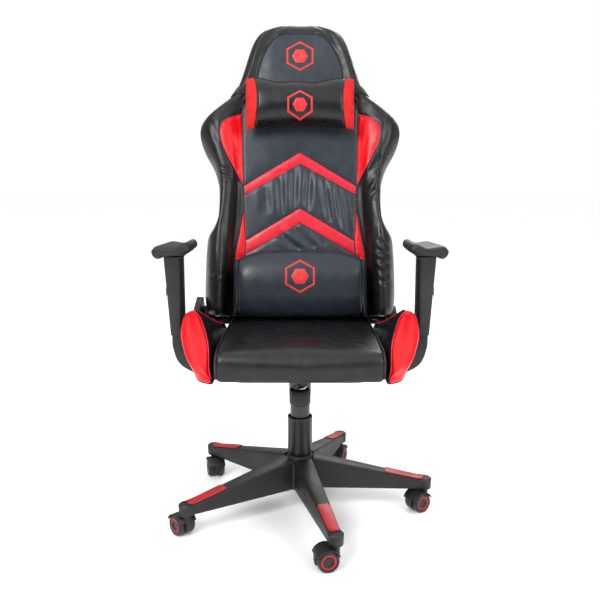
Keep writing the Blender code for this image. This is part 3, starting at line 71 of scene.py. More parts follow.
# Up the back from its bottom: height, then half width at the side, at the bolster's crown (outer, inner) and
# at its inner foot, then the depth of the crown and of the centre panel in front of the middle plane, and of
# the rear.
BACK_STATIONS = (
    (0.0125, (0.250, 0.224, 0.204, 0.184, 0.080, 0.032, 0.026)),
    (0.030, (0.256, 0.226, 0.204, 0.184, 0.088, 0.036, 0.030)),
    (0.130, (0.255, 0.222, 0.200, 0.181, 0.092, 0.038, 0.030)),
    (0.190, (0.252, 0.219, 0.197, 0.175, 0.090, 0.040, 0.030)),
    (0.225, (0.247, 0.217, 0.195, 0.170, 0.088, 0.040, 0.030)),
    (0.255, (0.228, 0.214, 0.192, 0.166, 0.085, 0.040, 0.030)),
    (0.280, (0.217, 0.210, 0.189, 0.164, 0.082, 0.040, 0.030)),
    (0.320, (0.2154, 0.206, 0.185, 0.160, 0.076, 0.040, 0.030)),
    (0.368, (0.2203, 0.204, 0.182, 0.157, 0.070, 0.040, 0.030)),
    (0.409, (0.233, 0.208, 0.180, 0.155, 0.066, 0.040, 0.030)),
    (0.455, (0.257, 0.220, 0.185, 0.154, 0.064, 0.040, 0.030)),
    (0.498, (0.270, 0.228, 0.190, 0.156, 0.062, 0.040, 0.030)),
    (0.528, (0.268, 0.228, 0.190, 0.157, 0.060, 0.041, 0.030)),
    (0.555, (0.250, 0.220, 0.186, 0.156, 0.055, 0.042, 0.030)),
    (0.578, (0.222, 0.200, 0.174, 0.148, 0.050, 0.042, 0.030)),
    (0.603, (0.190, 0.172, 0.152, 0.130, 0.045, 0.042, 0.030)),
    (0.636, (0.168, 0.150, 0.130, 0.105, 0.042, 0.042, 0.030)),
    (0.679, (0.152, 0.134, 0.115, 0.090, 0.041, 0.042, 0.030)),
    (0.727, (0.137, 0.119, 0.100, 0.078, 0.039, 0.040, 0.029)),
    (0.765, (0.121, 0.101, 0.083, 0.063, 0.033, 0.036, 0.026)),
    (0.790, (0.098, 0.080, 0.065, 0.050, 0.024, 0.028, 0.020)),
    (0.803, (0.068, 0.055, 0.045, 0.035, 0.011, 0.013, 0.010)),
)
FRONT_FROM, FRONT_TO = 4, 16  # control points between which a section faces the sitter
BACK_SECTION_POINTS = 20

# Panels of the back as (half width from the middle, height), for its left half.
LENS = ((0.156, 0.553), (0.184, 0.543), (0.206, 0.527), (0.212, 0.500), (0.206, 0.470), (0.192, 0.438),
        (0.171, 0.398), (0.153, 0.366), (0.151, 0.361), (0.153, 0.456))
GUSSET = ((0.150, 0.320), (0.153, 0.290), (0.162, 0.235), (0.173, 0.181), (0.174, 0.140), (0.164, 0.120),
          (0.148, 0.146), (0.144, 0.224))
CHEVRONS = (
    ((0.0, 0.451), (0.151, 0.360), (0.151, 0.335), (0.0, 0.419)),
    ((0.0, 0.300), (0.144, 0.214), (0.160, 0.168), (0.0, 0.260)),
)
INNER_SEAM = ((0.156, 0.563), (0.154, 0.510), (0.153, 0.456), (0.151, 0.361), (0.150, 0.281), (0.146, 0.214),
              (0.150, 0.120), (0.158, 0.040), (0.160, 0.014))
HEAD_PANEL = ((0.146, 0.585), (0.124, 0.628), (0.1185, 0.649), (0.113, 0.679), (0.102, 0.714), (0.086, 0.744),
              (0.065, 0.766), (0.043, 0.774), (0.0, 0.776))
OUTER_SEAM = ((0.150, 0.320), (0.153, 0.290), (0.162, 0.235), (0.173, 0.181), (0.178, 0.120), (0.180, 0.040),
              (0.180, 0.014))

WING_STATIONS = (
    (-0.252, (0.06, 0.14, 0.15, 0.12)),
    (-0.240, (0.12, 0.36, 0.38, 0.20)),
    (-0.225, (0.17, 0.52, 0.54, 0.30)),
    (-0.195, (0.22, 0.68, 0.74, 0.46)),
    (-0.165, (0.29, 0.78, 0.88, 0.66)),
    (-0.135, (0.42, 0.85, 0.98, 0.84)),
    (-0.110, (0.54, 0.89, 1.00, 0.97)),
    (-0.090, (0.59, 0.90, 0.98, 1.00)),
    (-0.050, (0.60, 0.86, 0.93, 0.95)),
    (0.000, (0.50, 0.78, 0.84, 0.80)),
    (0.050, (0.38, 0.68, 0.72, 0.64)),
    (0.088, (0.24, 0.50, 0.54, 0.51)),
    (0.102, (0.18, 0.40, 0.43, 0.46)),
    (0.120, (0.12, 0.34, 0.37, 0.44)),
    (0.136, (0.08, 0.26, 0.29, 0.38)),
)
WING_HEIGHT = 0.131
WHEEL_RADIUS = 0.025
WHEEL_INNER, WHEEL_FACE = 0.006, 0.023  # from the caster's middle plane to a wheel's inner and outer faces
PAD_LOBES = ((0.258, 0.0125), (0.319, 0.0155))  # centre and radius of the arm pads' inner and outer lobes
PAD_LOBE_RISE = 0.004
PAD_WEB = 0.0085  # half thickness between the lobes
PAD_CENTRE_Z = 0.679
PAD_SLOPE = math.radians(3.5)
WING_LEAN = 0.088
WING_INNER = 0.1905
WING_BOTTOM = 0.403


# ---------------------------------------------------------------- colours and nodes
def once(make):
    """Makes each named material only once, and hands out the same one after that."""
    def found(name, *settings, **named):
        return bpy.data.materials.get(name) or make(name, *settings, **named)

    return found


def linear(hex_colour):
    """The linear RGBA of an sRGB hex colour."""
    parts = [int(hex_colour[k:k + 2], 16) / 255 for k in (1, 3, 5)]
    return tuple([p / 12.92 if p <= 0.04045 else ((p + 0.055) / 1.055) ** 2.4 for p in parts] + [1.0])


def add_node(tree, kind, inputs=None, **settings):
    """Adds a node. An input given as (node, output) is linked, any other value is set."""
    node = tree.nodes.new(kind)
    for name, value in settings.items():
        setattr(node, name, value)
    for key, value in (inputs or {}).items():
        if isinstance(value, tuple) and isinstance(value[0], bpy.types.Node):
            tree.links.new(value[0].outputs[value[1]], node.inputs[key])
        else:
            node.inputs[key].default_value = value
    return node


def new_material(name, roughness, **sockets):
    """A Principled material whose constant values sit on the shader's own sockets."""
    material = bpy.data.materials.new(name)
    material.use_nodes = True
    tree = material.node_tree
    bsdf = tree.nodes["Principled BSDF"]
    bsdf.inputs["Roughness"].default_value = roughness
    for key, value in sockets.items():
        bsdf.inputs[key.replace("_", " ")].default_value = value
    return material, tree, bsdf


def span(tree, source, low, high, to_low=0.0, to_high=1.0):
    """Stretches a value from one range to another, held at its ends."""
    node = add_node(tree, "ShaderNodeMapRange", {"From Min": low, "From Max": high, "To Min": to_low,
                                                 "To Max": to_high})
    tree.links.new(source[0].outputs[source[1]], node.inputs["Value"])
    return node, "Result"


def mix_colour(tree, factor, first, second):
    """Mix of two colours, each a link or a value; factor is a link or a number."""
    node = add_node(tree, "ShaderNodeMix", {0: factor, 6: first, 7: second}, data_type="RGBA")
    return node, 2


def bumped(tree, height, depth_mm, strength=1.0, under=None):
    """A bump of that depth in millimetres, over an earlier one."""
    inputs = {"Height": height, "Distance": depth_mm * MM, "Strength": strength}
    if under:
        inputs["Normal"] = under
    return add_node(tree, "ShaderNodeBump", inputs), "Normal"


def noise(tree, size_mm, detail=2.0, roughness=0.5):
    coords = add_node(tree, "ShaderNodeTexCoord")
    node = add_node(tree, "ShaderNodeTexNoise", {"Vector": (coords, "Object"), "Scale": 1000 / size_mm,
                                                 "Detail": detail, "Roughness": roughness})
    return node, "Fac"


def link(tree, source, bsdf, socket):
    tree.links.new(source[0].outputs[source[1]], bsdf.inputs[socket])


def two_shades(tree, bsdf, share, dark, light):
    """The surface's colour, from its dark shade to its light one."""
    link(tree, mix_colour(tree, share, linear(dark), linear(light)), bsdf, "Base Color")


def grained_leather(tree, bsdf, roughness):
    """PU leather's own surface: pebbled grain a millimetre across, soft creases, and gloss that wanders."""
    coords = add_node(tree, "ShaderNodeTexCoord")
    grain = add_node(tree, "ShaderNodeTexVoronoi", {"Vector": (coords, "Object"), "Scale": 1000 / 1.5,
                                                    "Randomness": 0.9})
    pebbles = bumped(tree, (grain, "Distance"), 0.25, 0.35)
    crease = noise(tree, 9.0, 4.0, 0.6)
    normal = bumped(tree, crease, 0.9, 0.30, pebbles)
    link(tree, normal, bsdf, "Normal")
    gloss = span(tree, noise(tree, 30.0, 3.0), 0.35, 0.65, roughness - 0.05, roughness + 0.07)
    link(tree, gloss, bsdf, "Roughness")


@once
def leather(name, dark, light, roughness):
    """Coated PU leather: two shades of one colour, mixed in patches about two centimetres across."""
    material, tree, bsdf = new_material(name, roughness, Specular_IOR_Level=SPECULAR)
    grained_leather(tree, bsdf, roughness)
    shade = span(tree, noise(tree, 22.0, 4.0), 0.3, 0.7)
    colour = mix_colour(tree, shade, dark, light)
    link(tree, colour, bsdf, "Base Color")
    return material


def mask(tree, attribute, soft_mm=0.5):
    """0 outside a panel and 1 inside it, from the signed distance in millimetres that the mesh carries."""
    node = add_node(tree, "ShaderNodeAttribute", attribute_name=attribute)
    return span(tree, (node, "Fac"), -soft_mm, soft_mm)


@once
def panelled_leather(name, panels, roughness=0.34, matt=None):
    """Leather sewn from panels: each panel's colours show where its distance attribute is positive; painted
    shade darkens the seams.
    """
    material, tree, bsdf = new_material(name, roughness, Specular_IOR_Level=SPECULAR)
    grained_leather(tree, bsdf, roughness)
    shade = span(tree, noise(tree, 22.0, 4.0), 0.3, 0.7)
    colour = mix_colour(tree, shade, linear(BLACK_DARK), linear(BLACK_LIGHT))
    for attribute, dark, light in panels:
        panel = mix_colour(tree, shade, dark, light)
        colour = mix_colour(tree, mask(tree, attribute), colour, panel)
    # Painted shade: within about 2 mm of a seam the leather turns near black (#08080a), the shade of the
    # seam's groove.
    seam = add_node(tree, "ShaderNodeAttribute", attribute_name="seam_mm")
    seam_shade = span(tree, (seam, "Fac"), 0.6, 2.2)
    colour = mix_colour(tree, seam_shade, linear("#08080a"), colour)
    if matt:
        gloss = bsdf.inputs["Roughness"].links[0]
        panel = mask(tree, matt)
        worn = (gloss.from_node, gloss.from_socket.name)
        blend = add_node(tree, "ShaderNodeMix", {0: panel, 2: worn, 3: VELOUR_ROUGHNESS})
        tree.links.new(blend.outputs[0], bsdf.inputs["Roughness"])
    link(tree, colour, bsdf, "Base Color")
    return material


@once
def moulded_plastic(name, dark, light, roughness, texture_mm=0.8):
    """Injection-moulded plastic: spark-eroded texture, drawn coarse enough to show, and rubbed patches."""
    material, tree, bsdf = new_material(name, roughness)
    fine = bumped(tree, noise(tree, texture_mm, 2.0), 0.06, 0.5)
    link(tree, fine, bsdf, "Normal")
    rubbed = noise(tree, 35.0, 4.0, 0.6)
    colour = mix_colour(tree, span(tree, rubbed, 0.35, 0.75), dark, light)
    link(tree, colour, bsdf, "Base Color")
    gloss = span(tree, rubbed, 0.3, 0.7, roughness + 0.06, roughness - 0.05)
    link(tree, gloss, bsdf, "Roughness")
    return material


def glass_filled_nylon():
    return moulded_plastic("glass_filled_nylon_black", linear("#0d0d0e"), linear("#18181a"), 0.50)


def satin_abs_red():
    return moulded_plastic("moulded_abs_dark_red", linear("#8f0d10"), linear("#b81816"), 0.38)


def polypropylene_black():
    return moulded_plastic("moulded_polypropylene_black", linear("#0c0c0e"), linear("#151517"), 0.36)


def integral_skin_foam():
    """Self-skinned polyurethane of the arm pads: soft, matte, with a fine cast leather texture."""
    return moulded_plastic("integral_skin_polyurethane_black", linear("#0b0b0c"), linear("#161617"), 0.52,
                           texture_mm=1.2)


@once
def tone_and_relief_shade(name, roughness, relief, depth_mm, strength, dark, light, shade=None, **sockets):
    """A surface with one relief and two shades: a pattern from shade, or without it the relief itself, as
    painted highlight on the crests and painted shade in the hollows.
    """
    material, tree, bsdf = new_material(name, roughness, **sockets)
    height = relief(tree)
    link(tree, bumped(tree, height, depth_mm, strength), bsdf, "Normal")
    # Without shade the relief's height colours the surface: painted highlight on crests, painted shade in
    # hollows.
    two_shades(tree, bsdf, shade(tree) if shade else height, dark, light)
    return material


def patches(size_mm):
    return lambda tree: span(tree, noise(tree, size_mm, 3.0), 0.3, 0.7)


def waves(spacing_mm, direction, **inputs):
    scale = 1000 / spacing_mm / 6.28  # Blender's wave texture repeats every 2 pi at a scale of 1
    return lambda tree: (add_node(tree, "ShaderNodeTexWave", {
        "Vector": (add_node(tree, "ShaderNodeTexCoord"), "Object"), "Scale": scale, **inputs,
    }, bands_direction=direction), "Fac")


def powder_coat():
    """Black powder-coated steel: fine orange peel under a satin gloss."""
    return tone_and_relief_shade("powder_coated_steel_black", 0.36, lambda tree: noise(tree, 2.2, 2.0), 0.10, 0.5,
                    "#0f0f10", "#1a1a1c", patches(18.0), Coat_Weight=0.3, Coat_Roughness=0.25)


def zinc_plate():
    """Zinc-plated steel: bright, slightly bluish, with faint drawing marks."""
    return tone_and_relief_shade("zinc_plated_steel", 0.28, lambda tree: noise(tree, 1.5, 3.0), 0.05, 0.4,
                    "#b9bdc4", "#dcdfe3", patches(6.0), Metallic=1.0)


def acetal_white():
    return moulded_plastic("turned_acetal_white", linear("#d9d8d2"), linear("#e6e5e0"), 0.4)


def embroidery():
    """Satin-stitched rayon thread: half a millimetre between threads, drawn at 1.2 mm so that they show. Its
    colour follows the threads' relief: painted highlight on each crest, painted shade between threads.
    """
    threads = waves(1.2, "DIAGONAL", Distortion=1.5, Detail=1.0)
    return tone_and_relief_shade("embroidery_thread_red", 0.42, threads, 0.3, 0.6, "#b00f14", "#e0191c", Sheen_Weight=0.2)


def woven_elastic():
    """Woven elastic tape: ribs across its width, 1.6 mm apart. Its colour follows the ribs: painted highlight
    on their crests, painted shade in the grooves.
    """
    return tone_and_relief_shade("woven_elastic_black", 0.8, waves(1.6, "X"), 0.4, 0.7, "#0a0a0a", "#1b1b1c",
                    Sheen_Weight=0.2)


# ---------------------------------------------------------------- modelling helpers
def deselect():
    if bpy.context.mode != "OBJECT":
        bpy.ops.object.mode_set(mode="OBJECT")
    bpy.ops.object.select_all(action="DESELECT")


def activate(obj):
    deselect()
    obj.select_set(True)
    bpy.context.view_layer.objects.active = obj


def edited(*steps, gap=0.00002, outward=True):
    """Merges the active piece's doubled points, runs the steps on all of it, and turns its faces outward."""
    bpy.ops.object.mode_set(mode="EDIT")
    bpy.ops.mesh.select_mode(type="VERT")
    bpy.ops.mesh.select_all(action="SELECT")
    bpy.ops.mesh.remove_doubles(threshold=gap)
    for step in steps:
        step()
        bpy.ops.mesh.select_all(action="SELECT")
    if outward:
        bpy.ops.mesh.normals_make_consistent(inside=False)
    bpy.ops.object.mode_set(mode="OBJECT")


def applied(obj, kind, **settings):
    """Adds a modifier to the piece and applies it."""
    activate(obj)
    modifier = obj.modifiers.new(kind.lower(), kind)
    for name, value in settings.items():
        setattr(modifier, name, value)
    bpy.ops.object.modifier_apply(modifier=modifier.name)
    return obj


def refined(obj):
    """One level of subdivision, without the limit surface, which is slow round a filled end."""
    return applied(obj, "SUBSURF", levels=1, render_levels=1, use_limit_surface=False)


def smooth(obj, angle=40.0):
    activate(obj)
    bpy.ops.object.shade_smooth_by_angle(angle=math.radians(angle))
    return obj


def dress(obj, name, body, material, replaces=()):
    """Names a finished piece, gives it its material and puts it on its body."""
    obj.name = name
    obj.data.name = name
    obj.data.materials.clear()
    obj.data.materials.append(material)
    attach(obj, body)
    if replaces:
        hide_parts(*replaces)
    return obj


def spline_value(keys, t):
    """Catmull-Rom through (t, value) keys; value is a number or a tuple."""
    if t <= keys[0][0]:
        return keys[0][1]
    if t >= keys[-1][0]:
        return keys[-1][1]
    i = max(k for k in range(len(keys) - 1) if keys[k][0] <= t)
    (t1, v1), (t2, v2) = keys[i], keys[i + 1]
    t0, v0 = keys[i - 1] if i > 0 else (2 * t1 - t2, v1)
    t3, v3 = keys[i + 2] if i + 2 < len(keys) else (2 * t2 - t1, v2)
    u = (t - t1) / (t2 - t1)
    step = t2 - t1

    def blend(a, b, c, d):
        m1 = (c - a) / (t2 - t0) * step
        m2 = (d - b) / (t3 - t1) * step
        cubic = (2 * u**3 - 3 * u**2 + 1) * b + (u**3 - 2 * u**2 + u) * m1
        return cubic + (3 * u**2 - 2 * u**3) * c + (u**3 - u**2) * m2

    if isinstance(v1, tuple):
        return tuple(blend(*values) for values in zip(v0, v1, v2, v3))
    return blend(v0, v1, v2, v3)


def ring_at(points, steps):
    """Points of the smooth closed curve through points, at those places counted in points."""
    n = len(points)
    extended = [(k, tuple(points[k % n])) for k in range(-2, n + 3)]
    return [spline_value(extended, step) for step in steps]


def smooth_line(points, count):
    """Evenly indexed points on a smooth open curve through the given ones."""
    keys = [(k, tuple(point)) for k, point in enumerate(points)]
    last = len(points) - 1
    return [spline_value(keys, last * k / (count - 1)) for k in range(count)]


def lattice(name, rings, values=None):
    """A grid wrapped over equal closed rows of points, its seam merged and its two ends filled."""
    deselect()
    columns = len(rings[0])
    bpy.ops.mesh.primitive_grid_add(x_subdivisions=columns, y_subdivisions=len(rings) - 1, size=1.0)
    obj = bpy.context.active_object
    obj.name = name
    points = [point for ring in rings for point in [*ring, ring[0]]]
    obj.data.vertices.foreach_set("co", np.array(points, np.float32).ravel())
    for attribute, rows in (values or {}).items():
        layer = obj.data.attributes.new(attribute, "FLOAT", "POINT")
        flat = [value for row in rows for value in [*row, row[0]]]
        layer.data.foreach_set("value", np.array(flat, np.float32))
    obj.data.update()
    edited(lambda: bpy.ops.mesh.fill_holes(sides=0), gap=0.00001)
    bpy.ops.object.shade_smooth()
    return obj


def closed_ends(rings, shares=((0.86, 0.45), (0.55, 0.85), (0.08, 1.0)), bulge=0.004):
    """The rings with a few smaller ones past each end, so that the ends are rounded over."""
    def beyond(ring, inner):
        centre = np.mean(ring, axis=0)
        out = centre - np.mean(inner, axis=0)
        out = out / (np.linalg.norm(out) + 1e-9)
        return [[tuple(centre + (np.array(p) - centre) * size + out * bulge * rise) for p in ring]
                for size, rise in shares]

    return beyond(rings[0], rings[2])[::-1] + rings + beyond(rings[-1], rings[-3])


def coordinates(obj, what="co"):
    flat = np.empty(len(obj.data.vertices) * 3, np.float32)
    obj.data.vertices.foreach_get(what, flat)
    return flat.reshape(-1, 3).astype(float)


def normals(obj):
    return coordinates(obj, "normal")


def set_coordinates(obj, points):
    obj.data.vertices.foreach_set("co", points.astype(np.float32).ravel())
    obj.data.update()


def set_values(obj, name, values):
    layer = obj.data.attributes.get(name) or obj.data.attributes.new(name, "FLOAT", "POINT")
    layer.data.foreach_set("value", values.astype(np.float32))


def get_values(obj, name):
    values = np.empty(len(obj.data.vertices), np.float32)
    obj.data.attributes[name].data.foreach_get("value", values)
    return values.astype(float)


def distance_to(points, path, closed=False):
    """Distance of each 2D point to a polyline."""
    best = np.full(len(points), 1e9)
    ends = list(zip(path, path[1:])) + ([(path[-1], path[0])] if closed else [])
    for a, b in ends:
        a, b = np.array(a, float), np.array(b, float)
        along = np.clip(((points - a) @ (b - a)) / ((b - a) @ (b - a) + 1e-12), 0, 1)
        best = np.minimum(best, np.linalg.norm(points - a - along[:, None] * (b - a), axis=1))
    return best


def signed_distance(points, outline):
    """Distance to a closed outline, positive inside."""
    inside = np.zeros(len(points), bool)
    for (x1, y1), (x2, y2) in zip(outline, [*outline[1:], outline[0]]):
        crosses = (points[:, 1] < y1) != (points[:, 1] < y2)
        at = x1 + (points[:, 1] - y1) / (y2 - y1 + 1e-12) * (x2 - x1)
        inside ^= crosses & (points[:, 0] < at)
    distance = distance_to(points, outline, closed=True)
    return np.where(inside, distance, -distance)


def inflate(obj, pressure, most, held, frames=20, stiffness=15.0):
    """Blows the pad up against its held points, none moving further than most."""
    rest = coordinates(obj)
    group = obj.vertex_groups.new(name="held")
    for index in np.nonzero(held > 0.02)[0]:
        group.add([int(index)], float(held[index]), "REPLACE")
    activate(obj)
    bpy.ops.object.modifier_add(type="CLOTH")
    cloth = obj.modifiers[-1]
    cloth.settings.quality = 4
    cloth.settings.use_pressure = True
    cloth.settings.uniform_pressure_force = pressure
    cloth.settings.effector_weights.gravity = 0
    cloth.settings.vertex_group_mass = "held"
    cloth.settings.tension_stiffness = stiffness
    cloth.settings.compression_stiffness = stiffness
    cloth.settings.bending_stiffness = 0.4
    cloth.collision_settings.use_collision = False
    cloth.point_cache.frame_start = 1
    cloth.point_cache.frame_end = frames
    for number in range(1, frames + 1):
        bpy.context.scene.frame_set(number)
    moved = coordinates(obj.evaluated_get(bpy.context.evaluated_depsgraph_get())) - rest
    length = np.linalg.norm(moved, axis=1, keepdims=True)
    moved *= np.minimum(1.0, most / np.maximum(length, 1e-9))
    obj.modifiers.remove(cloth)
    obj.vertex_groups.remove(group)
    bpy.context.scene.frame_set(1)
    set_coordinates(obj, rest + moved)


def moulded(node, body, material, edge, segments=2, shading=40.0):
    """A CAD solid welded into whole faces, with its edges rounded as a moulding's or a pressing's are."""
    obj = bpy.data.objects.new(node + "_shape", frame["nodes"][node].data.copy())
    bpy.context.scene.collection.objects.link(obj)
    activate(obj)
    edited(lambda: bpy.ops.mesh.dissolve_limited(angle_limit=math.radians(1.0)), outward=False)
    if edge:
        applied(obj, "BEVEL", width=edge, segments=segments, limit_method="ANGLE",
                angle_limit=math.radians(35.0))
    smooth(obj, shading)
    return dress(obj, node + "_shape", body, material, (node,))


def turned(name, profile, place=Matrix.Identity(4), steps=64, shading=35.0):
    """A profile in (radius, height), from its top down the outer side, spun about Z and put in its place."""
    deselect()
    bpy.ops.mesh.primitive_circle_add(vertices=len(profile), fill_type="NOTHING", radius=1.0)
    obj = bpy.context.active_object
    for vertex, (radius, height) in zip(obj.data.vertices, profile):
        vertex.co = (radius, 0.0, height)
    applied(obj, "SCREW", steps=steps, render_steps=steps, use_merge_vertices=True, merge_threshold=0.00005)
    edited(bpy.ops.mesh.delete_loose)
    obj.data.transform(place)
    smooth(obj, shading)
    obj.name = name
    return obj


def piping(name, points, radius, body, material, closed=False):
    """A round cord sewn into a seam, as a mesh tube through the points."""
    curve = bpy.data.curves.new(name, "CURVE")
    curve.dimensions = "3D"
    curve.bevel_depth = radius
    curve.bevel_resolution = 3
    curve.use_fill_caps = True
    line = curve.splines.new("POLY")
    line.points.add(len(points) - 1)
    line.use_cyclic_u = closed
    for point, place in zip(line.points, points):
        point.co = (*place, 1.0)
    obj = bpy.data.objects.new(name, curve)
    bpy.context.scene.collection.objects.link(obj)
    activate(obj)
    bpy.ops.object.convert(target="MESH")
    obj = bpy.context.active_object
    edited()
    smooth(obj, 50.0)
    return dress(obj, name, body, material)


def filleted(corners, count):
    """Even points round a polygon whose corners, given as (x, y, radius), are rounded."""
    path = []
    for k, (x, y, radius) in enumerate(corners):
        here = Vector((x, y))
        before = Vector(corners[k - 1][:2]) - here
        after = Vector(corners[(k + 1) % len(corners)][:2]) - here
        reach = min(radius, before.length * 0.48, after.length * 0.48)
        start, end = here + before.normalized() * reach, here + after.normalized() * reach
        for j in range(13):
            t = j / 12
            path.append(start * (1 - t) ** 2 + here * (2 * t * (1 - t)) + end * t * t)
    path.append(path[0])
    lengths = np.cumsum([0.0] + [(b - a).length for a, b in zip(path, path[1:])])
    at = [lengths[-1] * k / count for k in range(count)]
    return list(zip(np.interp(at, lengths, [p.x for p in path]), np.interp(at, lengths, [p.y for p in path])))


def on_surface(obj, to_world, places, lift=0.0, start=-0.4):
    """World points on the front of obj at the places (x, height) of the frame to_world, lifted off it."""
    tree = BVHTree.FromObject(obj, bpy.context.evaluated_depsgraph_get())
    ahead = (to_world.to_3x3() @ Vector((0.0, 1.0, 0.0))).normalized()
    found = []
    for x, height in places:
        place, normal, _, _ = tree.ray_cast(to_world @ Vector((x, start, height)), ahead)
        if place is None:
            raise RuntimeError("nothing lies behind (%.3f, %.3f) on %s" % (x, height, obj.name))
        found.append(place + normal * lift)
    return found


def mirrored_path(path):
    return [(-x, height) for x, height in path]


# ---------------------------------------------------------------- user's sizes and colours
class ChairLooks(bpy.types.PropertyGroup):
    """Sizes and colours of the chair's upholstery and of the picture."""
    red: FloatVectorProperty(name="Red leather", description="Colour of the lens panels and the wing fronts",
                             subtype="COLOR", size=4, min=0.0, max=1.0, default=linear("#e30815"))
    chevron: FloatVectorProperty(name="Chevron", description="Colour of the two chevrons", subtype="COLOR",
                                 size=4, min=0.0, max=1.0, default=linear("#cf1a30"))
    slate: FloatVectorProperty(name="Slate leather", description="Colour of the middle and head panels",
                               subtype="COLOR", size=4, min=0.0, max=1.0, default=linear("#252c34"))
    seam_depth: FloatProperty(name="Seam depth", description="How far the leather dips at a seam",
                              subtype="DISTANCE", unit="LENGTH", default=0.0024, min=0.0, max=0.006)
    piping_radius: FloatProperty(name="Piping radius", description="Radius of the cord in the piped seams",
                                 subtype="DISTANCE", unit="LENGTH", default=0.0013, min=0.0005, max=0.004)
    lens: FloatProperty(name="Lens", description="Focal length of the camera", subtype="DISTANCE_CAMERA",
                        unit="CAMERA", default=45.54, min=10.0, max=200.0)
    camera_height: FloatProperty(name="Camera height", description="Height of the camera over the floor",
                                 subtype="DISTANCE", unit="LENGTH", default=0.903, min=0.0, max=3.0)
    camera_distance: FloatProperty(name="Camera distance", description="From the camera to the chair",
                                   subtype="DISTANCE", unit="LENGTH", default=1.857, min=0.5, max=10.0)
    camera_pitch: FloatProperty(name="Camera pitch", description="How far the camera looks down",
                                subtype="ANGLE", default=math.radians(11.0), min=0.0, max=1.5)


def looks():
    return bpy.context.scene.chair_looks


def shades(colour, dark, light):
    return darker(colour, dark), darker(colour, light)


def darker(colour, share):
    return tuple([value * share for value in colour[:3]] + [1.0])


def black_leather():
    return leather("pu_leather_black", linear("#0e0f11"), linear("#191b1d"), 0.33)


def piping_leather():
    """Turned-over PU leather round a cord: the same black leather worn to a softer gloss on its crest,
    coloured lighter than the black as a painted highlight along the cord.
    """
    return leather("pu_leather_piping", linear("#1d2023"), linear("#2b2f33"), 0.38)


def red_piping_leather():
    return leather("pu_leather_red_piping", linear("#c0182a"), linear("#e03848"), 0.40)


class ChairOperator:
    """What every operator of the chair shares."""
    bl_options = {"REGISTER", "UNDO"}

    def execute(self, context):
        self.make(context)
        return {"FINISHED"}


# ---------------------------------------------------------------- backrest
def back_section(height):
    """Control points of the back's section at a height, from the middle of the rear round its left side."""
    side, crown, crown_in, foot, front, centre, rear = spline_value(BACK_STATIONS, height)
    half = [(0.0, rear), (side * 0.5, rear), (side * 0.86, rear * 0.85), (side * 0.985, rear * 0.25),
            (side, -0.012 * min(1.0, front / 0.03)), (side - (side - crown) * 0.40, -front * 0.72),
            (crown, -front), (crown_in, -front * 0.93), (foot, -centre * 1.02), (foot * 0.55, -centre),
            (0.0, -centre)]
    return half + [(-x, y) for x, y in half[-2:0:-1]]


def red_outlines():
    """Outlines of the back's panels: lenses and gussets, then chevrons, on both sides."""
    bright = [list(shape) for shape in (LENS, GUSSET)]
    bright += [mirrored_path(shape) for shape in bright]
    bands = []
    for top, end_top, end_low, low in CHEVRONS:
        bands.append([top, end_top, end_low, low, (-end_low[0], end_low[1]), (-end_top[0], end_top[1])])
    return bright, bands


def slate_outline():
    """The middle panel and the head panel above it."""
    right = smooth_line(list(reversed(HEAD_PANEL)), 40) + [INNER_SEAM[0]] + list(INNER_SEAM)
    return right + mirrored_path(reversed(right))


# Folds of the loose middle panel and creases of the bolsters: from, to, half width, depth. The sitter's left
# is positive.
CREASES = (
    ((-0.056, 0.400), (-0.048, 0.275), 0.011, 0.0040),
    ((-0.014, 0.415), (-0.020, 0.290), 0.010, 0.0038),
    ((0.024, 0.405), (0.020, 0.290), 0.010, 0.0048),
    ((0.062, 0.385), (0.078, 0.262), 0.010, 0.0044),
    ((0.098, 0.362), (0.122, 0.235), 0.010, 0.0042),
    ((-0.096, 0.365), (-0.088, 0.285), 0.012, 0.0024),
    ((-0.060, 0.236), (-0.002, 0.186), 0.009, 0.0044),
    ((-0.022, 0.252), (0.040, 0.192), 0.009, 0.0040),
    ((0.030, 0.238), (0.070, 0.200), 0.009, 0.0026),
    ((0.176, 0.378), (0.214, 0.436), 0.008, 0.0036),
    ((0.174, 0.350), (0.208, 0.402), 0.008, 0.0032),
    ((0.182, 0.322), (0.206, 0.356), 0.007, 0.0024),
    ((-0.180, 0.398), (-0.210, 0.404), 0.006, 0.0030),
    ((-0.180, 0.380), (-0.208, 0.385), 0.006, 0.0024),
    ((0.202, 0.212), (0.230, 0.192), 0.006, 0.0030),
    ((0.200, 0.186), (0.230, 0.166), 0.006, 0.0034),
    ((0.202, 0.160), (0.232, 0.141), 0.006, 0.0030),
    ((0.202, 0.133), (0.232, 0.116), 0.006, 0.0026),
    ((0.206, 0.106), (0.230, 0.094), 0.006, 0.0020),
    ((-0.206, 0.122), (-0.230, 0.108), 0.006, 0.0020),
    ((-0.238, 0.536), (-0.216, 0.470), 0.009, 0.0020),
    ((0.240, 0.538), (0.220, 0.465), 0.009, 0.0022),
)


def hip_relief(points):
    """Pulls the sides in round the hinge, where the hinge's cover stands beside the back."""
    inner, reach = 0.2275, 0.045
    radius = np.hypot(points[:, 1], points[:, 2])
    limit = inner + np.maximum(0.0, radius - reach) * 1.6
    points[:, 0] = np.sign(points[:, 0]) * np.minimum(np.abs(points[:, 0]), limit)
    return points


